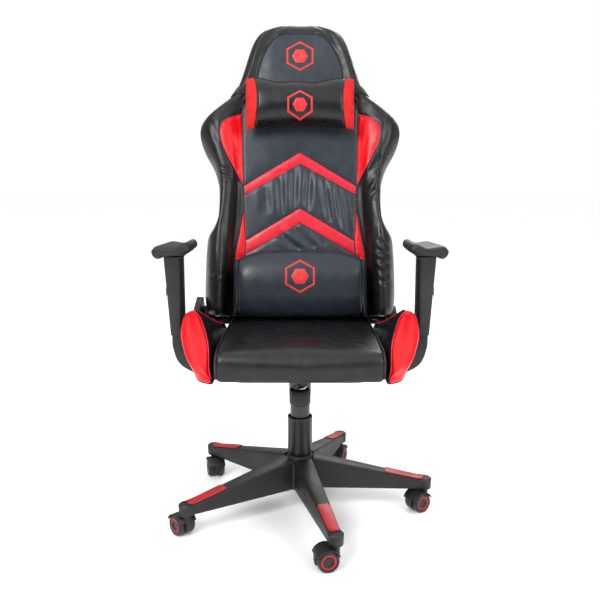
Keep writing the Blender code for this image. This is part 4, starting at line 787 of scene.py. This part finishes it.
class CHAIR_OT_backrest(ChairOperator, bpy.types.Operator):
    """The padded back: one foam body under sewn panels, swollen between its seams"""
    bl_idname = "chair.backrest"
    bl_label = "Backrest"

    def make(self, context):
        rear, front = 6, 12
        steps = []
        for k in range(BACK_SECTION_POINTS):
            count = front if FRONT_FROM <= k < FRONT_TO else rear
            steps += [k + j / count for j in range(count)]
        low, high, rows = BACK_STATIONS[0][0], BACK_STATIONS[-1][0], 124
        heights = [low + (high - low) * j / (rows - 1) for j in range(rows)]
        rings = [[(x, y, h) for x, y in ring_at(back_section(h), steps)] for h in heights]
        rings = closed_ends(rings)
        front_of_row = [float(FRONT_FROM + 0.5 <= s <= FRONT_TO - 0.5) for s in steps]
        faces_front = [front_of_row for _ in rings]
        back = lattice("back_upholstery", rings, {"front": faces_front})

        points = coordinates(back)
        flat = points[:, [0, 2]]
        seams = self.seams()
        nearest = np.min([distance_to(flat, seam) for seam in seams], axis=0)
        front_side = get_values(back, "front")
        held = np.where(front_side > 0.5, np.clip(1.2 - nearest / 0.010, 0.0, 1.0), 1.0)
        held[points[:, 2] < 0.016] = 1.0
        inflate(back, 2.2, 0.008, held)
        refined(back)

        points = hip_relief(coordinates(back))
        set_coordinates(back, points)
        flat = points[:, [0, 2]]
        front_side = get_values(back, "front")
        nearest = np.min([distance_to(flat, seam) for seam in seams], axis=0)
        depth = looks().seam_depth * np.exp(-(nearest / 0.0035) ** 2)
        for start, end, half_width, crease_depth in CREASES:
            a, b = np.array(start), np.array(end)
            along = ((flat - a) @ (b - a)) / ((b - a) @ (b - a))
            across = np.abs((flat - a) @ np.array([-(b - a)[1], (b - a)[0]])) / np.linalg.norm(b - a)
            taper = np.clip(1.0 - (2 * np.clip(along, -0.2, 1.2) - 1) ** 2, 0.0, 1.0) ** 0.5
            valley = np.exp(-(across / half_width) ** 2)
            ridge = np.exp(-((across - 1.7 * half_width) / half_width) ** 2)
            depth = depth + crease_depth * (valley - 0.5 * ridge) * taper
        points -= normals(back) * (depth * (front_side > 0.5))[:, None]
        set_coordinates(back, points)

        bright, bands = red_outlines()
        everywhere = np.where(front_side > 0.5, 0.0, 50.0)
        lens = np.max([signed_distance(flat, shape) for shape in bright], axis=0) * 1000 - everywhere
        chevron = np.max([signed_distance(flat, shape) for shape in bands], axis=0) * 1000 - everywhere
        slate = signed_distance(flat, slate_outline()) * 1000 - everywhere
        for attribute, millimetres in (("lens_mm", lens), ("chevron_mm", chevron), ("slate_mm", slate)):
            set_values(back, attribute, np.clip(millimetres, -20, 20))
        set_values(back, "seam_mm", np.clip(nearest * 1000 + everywhere, 0, 20))
        back.data.transform(BACK_TO_WORLD)
        red, band, slate_colour = looks().red, looks().chevron, looks().slate
        panels = (("slate_mm", *shades(slate_colour, 0.85, 1.25)), ("lens_mm", *shades(red, 0.86, 1.0)),
                  ("chevron_mm", *shades(band, 0.86, 1.06)))
        material = panelled_leather("pu_leather_panels", panels)
        dress(back, "back_upholstery", "back", material, ("back_cushion", "back_panel"))

    def seams(self):
        """Every sewn line of the back's front, both sides."""
        half = [list(INNER_SEAM), list(HEAD_PANEL), [*LENS, LENS[0]], list(OUTER_SEAM)]
        for top, end_top, end_low, low in CHEVRONS:
            half += [[top, end_top], [low, end_low]]
        return half + [mirrored_path(line) for line in half]


class CHAIR_OT_back_piping(ChairOperator, bpy.types.Operator):
    """Piped seams of the back: round the head panel, down the middle panel and round the lens panels"""
    bl_idname = "chair.back_piping"
    bl_label = "Back piping"

    def make(self, context):
        back = bpy.data.objects["back_upholstery"]
        radius = looks().piping_radius
        head = list(reversed(HEAD_PANEL)) + [INNER_SEAM[0]]
        lines = {
            "head": (mirrored_path(reversed(head[1:])) + head, piping_leather(), 120),
        }
        for side, flip in (("left", 1), ("right", -1)):
            inner = [(x * flip, h) for x, h in INNER_SEAM[:7]]
            lines["inner_" + side] = (inner, piping_leather(), 90)
            lens = [(x * flip, h) for x, h in LENS[:8]]
            lines["lens_" + side] = (lens, red_piping_leather(), 50)
            outer = [(x * flip, h) for x, h in OUTER_SEAM[:5]]
            lines["gusset_" + side] = (outer, piping_leather(), 50)
        for name, (places, material, count) in lines.items():
            points = on_surface(back, BACK_TO_WORLD, smooth_line(places, count), lift=0.0002)
            piping("back_piping_" + name, points, radius, "back", material)


# ---------------------------------------------------------------- seat
class CHAIR_OT_seat_cushion(ChairOperator, bpy.types.Operator):
    """The seat cushion: foam with a waterfall front edge under black leather, piped along both sides"""
    bl_idname = "chair.seat_cushion"
    bl_label = "Seat cushion"

    def make(self, context):
        low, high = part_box("seat_cushion")
        bottom, top, front, rear = low.z, high.z, low.y, high.y
        corners = ((front + 0.004, bottom, 0.016), (rear, bottom, 0.010), (rear, top - 0.016, 0.018),
                   (rear - 0.20, top - 0.006, 0.15), (front + 0.10, top - 0.0005, 0.10),
                   (front, top - 0.001, 0.040))
        section = filleted(corners, 112)
        middle = ((front + rear) / 2, (bottom + top) / 2)
        half = (high.x - low.x) / 2
        stations = [-1.0, -0.997, -0.988, -0.972]
        inner = [-0.95 + 1.9 * k / 60 for k in range(61)]
        stations = stations + inner + [-s for s in reversed(stations)]
        rings = []
        for s in stations:
            from_end = (1.0 - abs(s)) * half
            shrink = 0.010 * (1.0 - min(1.0, from_end / 0.014)) ** 2
            crown = 0.004 * (1.0 - s * s) - 0.002
            ring = []
            for y, z in section:
                along = 1.0 - shrink / ((rear - front) / 2)
                up = 1.0 - shrink / ((top - bottom) / 2)
                lift = crown * max(0.0, (z - middle[1]) / (top - middle[1]))
                ring.append((s * half, middle[0] + (y - middle[0]) * along,
                             middle[1] + (z - middle[1]) * up + lift))
            rings.append(ring)
        rings = closed_ends(rings, ((0.96, 0.3), (0.6, 0.8), (0.1, 1.0)), 0.0015)
        cushion = lattice("seat_upholstery", rings)
        points = coordinates(cushion)
        edge = half - np.abs(points[:, 0])
        held = np.clip(1.2 - edge / 0.012, 0.0, 1.0)
        held = np.maximum(held, (points[:, 2] < bottom + 0.008).astype(float))
        inflate(cushion, 2.2, 0.007, held)
        refined(cushion)
        dress(cushion, "seat_upholstery", "seat", black_leather(), ("seat_cushion",))
        outline = [(y, z) for y, z in section if z > bottom + 0.006]
        start = max(range(len(outline)), key=lambda k: outline[k][0] - outline[k][1])
        outline = outline[start:] + outline[:start]
        for name, flip in (("left", 1), ("right", -1)):
            x = flip * (half - 0.004)
            points = [(x, middle[0] + (y - middle[0]) * 0.985, middle[1] + (z - middle[1]) * 0.95)
                      for y, z in outline]
            piping("seat_piping_" + name, points, looks().piping_radius, "seat", piping_leather())


def wing_section(y, side):
    """Control points of a wing's section at a place along it, in (x, z)."""
    inner_top, outer_top, widest, rise = spline_value(WING_STATIONS, y)
    low = WING_BOTTOM
    top = low + WING_HEIGHT * rise
    x_in = WING_INNER + WING_LEAN * inner_top
    x_out = WING_INNER + WING_LEAN * outer_top
    x_wide = WING_INNER + WING_LEAN * widest
    x_foot = WING_INNER + WING_LEAN * min(0.42, widest * 0.75)
    tall = top - low
    corners = [(WING_INNER, low + 0.003), (WING_INNER + (x_in - WING_INNER) * 0.35, low + tall * 0.55),
               (x_in, top - 0.006), ((x_in + x_out) / 2, top), (x_out, top - 0.007),
               (x_wide, low + tall * 0.72), (x_wide - (x_wide - x_foot) * 0.5, low + tall * 0.30),
               (x_foot, low)]
    return [(side * x, z) for x, z in corners]


class CHAIR_OT_seat_wings(ChairOperator, bpy.types.Operator):
    """The seat's side bolsters: black, with a red panel over the front and a red piped seam along the top"""
    bl_idname = "chair.seat_wings"
    bl_label = "Seat wings"

    def make(self, context):
        first, last = WING_STATIONS[0][0], WING_STATIONS[-1][0]
        places = [first + (last - first) * (k / 79) for k in range(80)]
        count = 72
        steps = [8 * k / count for k in range(count)]
        red_from, red_to, red_end = 1.75, 6.6, -0.098
        for name, side in (("left", 1), ("right", -1)):
            rings, red = [], []
            for y in places:
                section = ring_at(wing_section(y, side), steps)
                rings.append([(x, y, z) for x, z in section])
                lengths = [0.0]
                for a, b in zip(section, section[1:]):
                    lengths.append(lengths[-1] + math.dist(a, b))
                at = [np.interp(edge, steps, lengths) for edge in (red_from, red_to)]
                behind = (red_end - y) * 1.4
                red.append([min(length - at[0], at[1] - length, behind) / MM for length in lengths])
            rings_closed = closed_ends(rings, ((0.9, 0.4), (0.6, 0.8), (0.1, 1.0)), 0.003)
            red = [red[0]] * 3 + red + [red[-1]] * 3
            wing = lattice("wing", rings_closed, {"lens_mm": red})
            points = coordinates(wing)
            held = (np.abs(points[:, 0]) < WING_INNER + 0.004).astype(float)
            held = np.maximum(held, (points[:, 2] < WING_BOTTOM + 0.006).astype(float))
            edge = np.abs(get_values(wing, "lens_mm")) / 1000
            held = np.maximum(held, np.clip(1.2 - edge / 0.006, 0.0, 1.0))
            inflate(wing, 2.0, 0.004, held)
            refined(wing)
            edge = np.abs(get_values(wing, "lens_mm")) / 1000
            points = coordinates(wing)
            points -= normals(wing) * (looks().seam_depth * 0.7 * np.exp(-(edge / 0.0035) ** 2))[:, None]
            set_coordinates(wing, points)
            set_values(wing, "seam_mm", edge * 1000)
            wing.data.transform(SEAT_TO_WORLD)
            material = panelled_leather("pu_leather_wing", (("lens_mm", *shades(looks().red, 0.86, 1.0)),))
            dress(wing, "wing_upholstery_" + name, "seat", material, ("seat_wing_" + name,))
            self.pipe(name, side, red_from, red_to, red_end, places)

    def pipe(self, name, side, red_from, red_to, red_end, places):
        def line(step, start, end, count):
            found = []
            for k in range(count):
                y = start + (end - start) * k / (count - 1)
                x, z = ring_at(wing_section(y, side), [step])[0]
                found.append(tuple(SEAT_TO_WORLD @ Vector((x, y, z))))
            return found

        radius = looks().piping_radius
        piping("wing_piping_inner_" + name, line(red_from, places[0] + 0.004, red_end, 40), radius, "seat",
               red_piping_leather())
        piping("wing_piping_top_" + name, line(2.4, red_end, places[-1] - 0.002, 60), radius * 1.3, "seat",
               red_piping_leather())
        step_from, step_to = red_from, min(red_to, 4.6)
        across = []
        for k in range(24):
            x, z = ring_at(wing_section(red_end, side), [step_from + (step_to - step_from) * k / 23])[0]
            across.append(tuple(SEAT_TO_WORLD @ Vector((x, red_end, z))))
        piping("wing_piping_across_" + name, across, radius, "seat", red_piping_leather())


# ---------------------------------------------------------------- pillows
def pillow_rings(size, centre, half_height, columns, around, power):
    """Sections across a pillow: half_height gives the lower and upper reach at a share of the half width."""
    rings = []
    for k in range(columns):
        s = math.sin(math.pi / 2 * (-1 + 2 * k / (columns - 1)))
        low, high = half_height(s)
        thick = size[1] / 2 * max(0.05, 1 - abs(s) ** power) ** 0.5
        ring = []
        for j in range(around):
            angle = 2 * math.pi * j / around
            up = math.sin(angle)
            out = math.cos(angle)
            height = math.copysign(abs(up) ** 0.85, up) * (high if up > 0 else low)
            depth = math.copysign(abs(out) ** 1.15, out) * thick
            ring.append((centre[0] + s * size[0] / 2, centre[1] + depth, centre[2] + height))
        rings.append(ring)
    return rings


class CHAIR_OT_pillows(ChairOperator, bpy.types.Operator):
    """Lumbar and head pillows, fibre-filled and pinched at the seams, and the head pillow's elastic band"""
    bl_idname = "chair.pillows"
    bl_label = "Pillows"

    def make(self, context):
        self.head()
        self.lumbar()
        moulded("head_strap", "back", woven_elastic(), edge=0.0004, shading=50.0)

    def shaped(self, name, rings, pressure, most, values, material, node):
        pillow = lattice(name, closed_ends(rings, ((0.8, 0.6), (0.4, 1.0)), 0.001))
        points = coordinates(pillow)
        width = np.abs(points[:, 0]).max()
        held = np.clip(1.15 - (width - np.abs(points[:, 0])) / 0.008, 0.0, 1.0)
        inflate(pillow, pressure, most, held, stiffness=10.0)
        refined(pillow)
        points = coordinates(pillow)
        for attribute, found in values(points).items():
            set_values(pillow, attribute, found)
        seam = get_values(pillow, "seam_mm")
        depth = 0.0022 * np.exp(-(seam / 3.5) ** 2)
        set_coordinates(pillow, points - normals(pillow) * depth[:, None])
        pillow.data.transform(BACK_TO_WORLD)
        dress(pillow, name, "back", material, (node,))

    def head(self):
        low, high = self.local_box("head_pillow")
        size = high - low
        centre = (low + high) / 2

        def reach(s):
            pinch = 0.30 * (1 - s * s) ** 2
            ripple = 0.0022 * math.cos(9.0 * s + 0.6)
            below = size.z / 2 * (1 - 0.16 * (1 - s * s)) - 0.004
            return below, size.z / 2 * (1 - 0.5 * pinch) - 0.003 + ripple

        rings = pillow_rings(size, centre, reach, 84, 88, 10)

        def values(points):
            share = np.clip((points[:, 2] - centre.z) / (size.z / 2), -1, 1)
            inner = size.x / 2 - 0.021 - 0.009 * (1 - share ** 2)
            red = (np.abs(points[:, 0]) - inner) * 1000
            return {"lens_mm": np.clip(red, -20, 20), "seam_mm": np.abs(red)}

        panels = (("lens_mm", linear("#b81418"), linear("#d8261f")),)
        material = panelled_leather("pu_leather_head_pillow", panels, roughness=0.26, matt="lens_mm")
        self.shaped("head_pillow_cover", rings, 3.0, 0.012, values, material, "head_pillow")

    def lumbar(self):
        low, high = self.local_box("lumbar_pillow")
        size = high - low
        centre = (low + high) / 2

        def reach(s):
            below = size.z / 2 * (1 - 0.10 * abs(s) ** 4) - 0.003
            return below, size.z / 2 * (1 - 0.34 * abs(s) ** 3) - 0.004

        rings = pillow_rings(size, centre, reach, 92, 88, 12)

        def values(points):
            inner = size.x / 2 - 0.010
            return {"seam_mm": np.clip(np.abs(np.abs(points[:, 0]) - inner) * 1000, 0, 20),
                    "slate_mm": np.full(len(points), 20.0)}

        panels = (("slate_mm", *shades(looks().slate, 0.75, 1.05)),)
        material = panelled_leather("pu_leather_lumbar_pillow", panels, roughness=0.32)
        self.shaped("lumbar_pillow_cover", rings, 3.0, 0.010, values, material, "lumbar_pillow")

    def local_box(self, node):
        """A node's box in the back's own frame."""
        to_local = BACK_TO_WORLD.inverted()
        points = [to_local @ vertex.co for vertex in frame["nodes"][node].data.vertices]
        low = Vector([min(p[k] for p in points) for k in range(3)])
        high = Vector([max(p[k] for p in points) for k in range(3)])
        return low, high


# ---------------------------------------------------------------- emblems
RING_WIDTH = 0.006  # of an emblem's outer hexagon


def hexagon(radius, height, turn=0.0):
    turns = [math.radians(60 * k + turn) for k in range(6)]
    return [(radius * math.sin(a), height + radius * math.cos(a)) for a in turns]


def stitched_shape(name, cover, outline, inner, body):
    """A raised patch of satin stitch between an outline and an inner one, laid on the surface of a cover."""
    lifts = (0.0, 0.0007, 0.0010, 0.0011, 0.0010, 0.0007, 0.0)  # from the outline to the inner one
    per_side = 12
    bites = 0.0001  # the patch's rim sinks this far into the cover

    def loop(corners):
        ends = zip(corners, [*corners[1:], corners[0]])
        return [(np.array(a) * (per_side - i) + np.array(b) * i) / per_side
                for a, b in ends for i in range(per_side)]

    deselect()
    rows = len(lifts) - 1
    bpy.ops.mesh.primitive_grid_add(x_subdivisions=6 * per_side, y_subdivisions=rows, size=1.0)
    obj = bpy.context.active_object
    points = []
    for j, lift in enumerate(lifts):
        row = [a + (b - a) * j / rows for a, b in zip(loop(outline), loop(inner))]
        placed = on_surface(cover, BACK_TO_WORLD, row, lift=lift - bites)
        points += placed + [placed[0]]
    set_coordinates(obj, np.array([tuple(p) for p in points]))
    edited(gap=0.00001)
    applied(obj, "SOLIDIFY", thickness=0.0005, offset=-1.0)
    smooth(obj, 60.0)
    return dress(obj, name, body, embroidery())


class CHAIR_OT_emblems(ChairOperator, bpy.types.Operator):
    """Embroidered hexagons on the head panel and on both pillows"""
    bl_idname = "chair.emblems"
    bl_label = "Emblems"

    def make(self, context):
        places = (("head", "back_upholstery", 0.711, 0.042, "back_leather"),
                  ("head_pillow", "head_pillow_cover", 0.556, 0.038, "pillow_leather"),
                  ("lumbar", "lumbar_pillow_cover", 0.112, 0.044, "pillow_leather"))
        for name, cover, height, radius, slot in places:
            on = bpy.data.objects[cover]
            stitched_shape("emblem_%s_ring" % name, on, hexagon(radius, height),
                           hexagon(radius - RING_WIDTH, height), "back")
            stitched_shape("emblem_%s_centre" % name, on, hexagon(radius * 0.52, height, 30),
                           hexagon(radius * 0.02, height, 30), "back")


# ---------------------------------------------------------------- armrests
class CHAIR_OT_arm_pads(ChairOperator, bpy.types.Operator):
    """The two saddle-shaped arm pads"""
    bl_idname = "chair.arm_pads"
    bl_label = "Arm pads"

    def make(self, context):
        for name in ("left", "right"):
            self.pad(name)

    def pad_section(self):
        """The saddle from its front end: a small inner lobe, a dip, a larger outer lobe and a flat base."""
        (inner_x, inner_r), (outer_x, outer_r) = PAD_LOBES
        middle = (inner_x + outer_x) / 2
        corners = [(inner_x + inner_r * math.cos(a), PAD_LOBE_RISE + inner_r * math.sin(a))
                   for a in map(math.radians, (200, 155, 110, 65))]
        corners.append((middle - 0.004, PAD_WEB - 0.001))
        corners += [(outer_x + outer_r * math.cos(a), outer_r * math.sin(a) - PAD_LOBE_RISE)
                    for a in map(math.radians, (110, 65, 15, -35, -80))]
        corners += [(middle + 0.016, -PAD_WEB - 0.005), (middle - 0.018, -PAD_WEB - 0.003),
                    (inner_x, PAD_LOBE_RISE - inner_r)]
        return ring_at(corners, [len(corners) * k / 96 for k in range(96)])

    def pad(self, name):
        low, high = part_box("arm_pad_" + name)
        side = 1 if low.x > 0 else -1
        outer = PAD_LOBES[1][0]
        rings = []
        for k in range(81):
            along = math.sin(math.pi / 2 * (k / 40 - 1))
            y = (low.y + high.y) / 2 + (high.y - low.y) / 2 * along
            z = PAD_CENTRE_Z - (y - (low.y + high.y) / 2) * math.tan(PAD_SLOPE)
            scale = max(0.32, 1 - abs(along) ** 20) ** 0.5
            taper = 1 - 0.20 * max(0.0, 0.5 + along / 2) ** 1.5
            rings.append([(side * (outer + (x - outer) * taper * (0.7 + 0.3 * scale)), y, z + h * scale)
                          for x, h in self.pad_section()])
        rings = closed_ends(rings, ((0.8, 0.5), (0.4, 0.9), (0.1, 1.0)), 0.0012)
        pad = lattice("arm_pad_skin_" + name, rings)
        smooth(pad, 60.0)
        dress(pad, "arm_pad_skin_" + name, "armrest_" + name, integral_skin_foam(),
              ("arm_pad_" + name,))


# ---------------------------------------------------------------- base, casters, lift and mechanism
def moulded_pieces():
    """Every piece that keeps the frame's shape: node, body, finish, slot, edge radius and bevel steps."""
    nylon, steel, zinc = glass_filled_nylon(), powder_coat(), zinc_plate()
    rows = [
        ("star_base", "base", nylon, "base_nylon", 0.0012, 3),
        ("lift_outer_tube", "base", steel, "lift_steel", 0.0, 2),
        ("lift_guide_bush", "base", acetal_white(), "guide_acetal", 0.0, 2),
        ("lift_rod", "lift_piston", zinc, "bright_steel", 0.0, 2),
        ("lift_cylinder", "lift", steel, "lift_steel", 0.0, 2),
        ("lift_release_pin", "release_pin", zinc, "bright_steel", 0.0, 2),
        ("tilt_housing", "lift", steel, "mechanism_steel", 0.0010, 2),
        ("tilt_pivot_pin", "lift", zinc, "bright_steel", 0.0, 2),
        ("seat_plate", "seat", steel, "mechanism_steel", 0.0008, 2),
        ("seat_frame", "seat", steel, "mechanism_steel", 0.0, 2),
        ("tension_spring", "seat", zinc, "bright_steel", 0.0, 2),
        ("tension_knob", "tension_knob", nylon, "knob_plastic", 0.0006, 2),
        ("back_frame", "back", steel, "mechanism_steel", 0.0, 2),
        ("height_lever", "height_lever", steel, "bright_steel", 0.0, 2),
        ("recline_lever", "recline_lever", nylon, "cover_plastic", 0.0010, 2),
    ]
    for k in range(1, 6):
        rows += [
            ("arm_trim_%d" % k, "base", satin_abs_red(), "trim_red", 0.0006, 2),
            ("caster_%d_stem" % k, "base", zinc, "bright_steel", 0.0, 2),
            ("caster_%d_hood" % k, "caster_%d" % k, nylon, "hood_nylon", 0.0006, 2),
        ]
    for side in ("left", "right"):
        rows += [
            ("arm_bracket_" + side, "seat", nylon, "arm_plastic", 0.0015, 3),
            ("arm_sleeve_" + side, "armrest_" + side, nylon, "arm_plastic", 0.0012, 3),
            ("arm_button_" + side, "arm_button_" + side, polypropylene_black(), "arm_plastic", 0.0006, 2),
            ("recliner_upper_" + side, "back", steel, "mechanism_steel", 0.0006, 2),
            ("recliner_lower_" + side, "seat", steel, "mechanism_steel", 0.0006, 2),
            ("hinge_cover_" + side, "seat", nylon, "cover_plastic", 0.0010, 2),
        ]
    return rows


class CHAIR_OT_hard_parts(ChairOperator, bpy.types.Operator):
    """Base, column, mechanism, recliners, armrest posts and levers"""
    bl_idname = "chair.hard_parts"
    bl_label = "Hard parts"

    def make(self, context):
        for node, body, material, slot, edge, segments in moulded_pieces():
            moulded(node, body, material, edge=edge, segments=segments)


class CHAIR_OT_wheels(ChairOperator, bpy.types.Operator):
    """The casters' twin wheels"""
    bl_idname = "chair.wheels"
    bl_label = "Wheels"

    def make(self, context):
        for number in range(1, 6):
            self.wheels(number)

    def wheels(self, number):
        """A pair of wheels turned about the axle, each with a ring let into its outer face."""
        joint = JOINTS["caster_%d_roll" % number]
        axis = Vector(joint["axis"]).normalized()
        place = Matrix.Translation(joint["pos_m"]) @ axis.to_track_quat("Z", "Y").to_matrix().to_4x4()
        r, inner, face = WHEEL_RADIUS, WHEEL_INNER, WHEEL_FACE
        black = [(0.0, face - 0.0030), (0.0085, face - 0.0030), (0.0090, face - 0.0012),
                 (0.0120, face - 0.0012), (0.0125, face - 0.0035), (0.0185, face - 0.0035),
                 (0.0190, face - 0.0004), (r - 0.0045, face), (r - 0.0025, face - 0.0008),
                 (r - 0.0008, face - 0.0025), (r, face - 0.0050), (r, inner + 0.0015), (r - 0.0010, inner),
                 (0.0036, inner)]
        profile = black + [(radius, -height) for radius, height in reversed(black)]
        wheels = turned("wheels", profile, place)
        tread = moulded_plastic("polyurethane_tyre_black", linear("#101011"), linear("#1c1c1d"), 0.42, 1.0)
        dress(wheels, "caster_%d_wheels_turned" % number, "caster_%d_wheel_pair" % number, tread,
              ("caster_%d_wheels" % number,))
        for end, flip in (("a", 1), ("b", -1)):
            ring = [(0.0128, face - 0.0030), (0.0134, face - 0.0016), (0.0155, face - 0.0010),
                    (0.0178, face - 0.0016), (0.0182, face - 0.0030), (0.0182, face - 0.0040),
                    (0.0128, face - 0.0040), (0.0128, face - 0.0030)]
            turn = Matrix.Rotation(0.0 if flip > 0 else math.pi, 4, "X")
            obj = turned("ring", ring, place @ turn)
            dress(obj, "caster_%d_ring_%s" % (number, end), "caster_%d_wheel_pair" % number, satin_abs_red())


class CHAIR_OT_lift_covers(ChairOperator, bpy.types.Operator):
    """The gas lift's two telescopic covers"""
    bl_idname = "chair.lift_covers"
    bl_label = "Lift covers"

    def make(self, context):
        for node, body in (("dust_cover_lower", "base"), ("dust_cover_upper", "lift")):
            self.cover(node, body)

    def cover(self, node, body):
        """A tube with a rolled lip at each end."""
        low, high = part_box(node)
        r, wall = (high.x - low.x) / 2, 0.0018
        top, bottom = high.z, low.z
        profile = [(r - wall, top), (r - 0.0012, top), (r - 0.0003, top - 0.0008), (r, top - 0.0020),
                   (r, top - 0.006), (r - 0.0006, top - 0.007), (r - 0.0008, bottom + 0.010),
                   (r - 0.0030, bottom + 0.003), (r - 0.0040, bottom), (r - 0.0040 - wall, bottom),
                   (r - 0.0006 - wall, bottom + 0.011), (r - wall, top)]
        place = Matrix.Translation(((low.x + high.x) / 2, (low.y + high.y) / 2, 0.0))
        dress(turned(node + "_turned", profile, place), node + "_turned", body, polypropylene_black(),
              (node,))


# ---------------------------------------------------------------- stage
def area_light(name, location, target, size, power):
    deselect()
    bpy.ops.object.light_add(type="AREA", location=location)
    light = bpy.context.active_object
    light.name = name
    light.data.shape = "RECTANGLE"
    light.data.size, light.data.size_y = size
    light.data.energy = power
    aim = Vector(target) - Vector(location)
    light.rotation_euler = aim.to_track_quat("-Z", "Y").to_euler()
    return light


class CHAIR_OT_stage(ChairOperator, bpy.types.Operator):
    """Pale floor, soft lights and the camera"""
    bl_idname = "chair.stage"
    bl_label = "Stage"

    def make(self, context):
        deselect()
        bpy.ops.mesh.primitive_plane_add(size=30.0, location=(0.0, 0.0, 0.0))
        floor = bpy.context.active_object
        floor.name = "studio_floor"
        material, tree, bsdf = new_material("painted_studio_floor", 0.75)
        tone = mix_colour(tree, noise(tree, 400.0, 2.0), linear("#fcfcfc"), linear("#ffffff"))
        link(tree, tone, bsdf, "Base Color")
        floor.data.materials.append(material)

        area_light("key_light", (-1.5, -2.2, 2.5), (0.0, 0.0, 0.6), (1.1, 1.5), 72.0)
        area_light("fill_light", (2.3, -1.7, 1.8), (0.0, 0.0, 0.7), (0.9, 1.6), 34.0)
        area_light("rear_light", (0.6, 2.8, 2.2), (0.0, 0.2, 0.7), (1.6, 1.6), 34.0)
        deselect()
        bpy.ops.object.light_add(type="SUN", location=(0.0, 0.0, 4.0), rotation=(math.radians(12), 0.0, 0.0))
        sky = bpy.context.active_object
        sky.name = "ceiling_light"
        sky.data.energy = 2.4
        sky.data.angle = math.radians(110)

        world = bpy.context.scene.world or bpy.data.worlds.new("studio")
        bpy.context.scene.world = world
        world.use_nodes = True
        tree = world.node_tree
        tree.nodes.clear()
        path = add_node(tree, "ShaderNodeLightPath")
        seen = add_node(tree, "ShaderNodeBackground", {"Color": linear("#ffffff"), "Strength": 1.0})
        lit = add_node(tree, "ShaderNodeBackground", {"Color": linear("#ffffff"), "Strength": 0.30})
        mixed = add_node(tree, "ShaderNodeMixShader", {0: (path, "Is Camera Ray"), 1: (lit, 0), 2: (seen, 0)})
        add_node(tree, "ShaderNodeOutputWorld", {"Surface": (mixed, 0)})

        deselect()
        bpy.ops.object.camera_add(location=(0.0, -looks().camera_distance, looks().camera_height),
                                  rotation=(math.pi / 2 - looks().camera_pitch, 0.0, 0.0))
        camera = bpy.context.active_object
        camera.data.sensor_width = 36.0
        camera.data.lens = looks().lens
        bpy.context.scene.camera = camera
        bpy.context.scene.view_settings.view_transform = "Standard"


OPERATORS = (
    CHAIR_OT_stage, CHAIR_OT_backrest, CHAIR_OT_back_piping, CHAIR_OT_seat_cushion, CHAIR_OT_seat_wings,
    CHAIR_OT_pillows, CHAIR_OT_emblems, CHAIR_OT_arm_pads, CHAIR_OT_hard_parts, CHAIR_OT_wheels,
    CHAIR_OT_lift_covers,
)


class CHAIR_PT_panel(bpy.types.Panel):
    """Buttons that make the chair, piece by piece"""
    bl_idname = "CHAIR_PT_panel"
    bl_label = "Office chair"
    bl_space_type = "VIEW_3D"
    bl_region_type = "UI"
    bl_category = "Chair"

    def draw(self, context):
        for name in ChairLooks.__annotations__:
            self.layout.prop(context.scene.chair_looks, name)
        for operator in OPERATORS:
            self.layout.operator(operator.bl_idname)


def register():
    for cls in (ChairLooks, *OPERATORS, CHAIR_PT_panel):
        bpy.utils.register_class(cls)
    bpy.types.Scene.chair_looks = PointerProperty(type=ChairLooks)


def unregister():
    del bpy.types.Scene.chair_looks
    for cls in reversed((ChairLooks, *OPERATORS, CHAIR_PT_panel)):
        bpy.utils.unregister_class(cls)


def main():
    register()
    for operator in OPERATORS:
        group, name = operator.bl_idname.split(".")
        getattr(getattr(bpy.ops, group), name)()


if __name__ == "__main__":
    main()
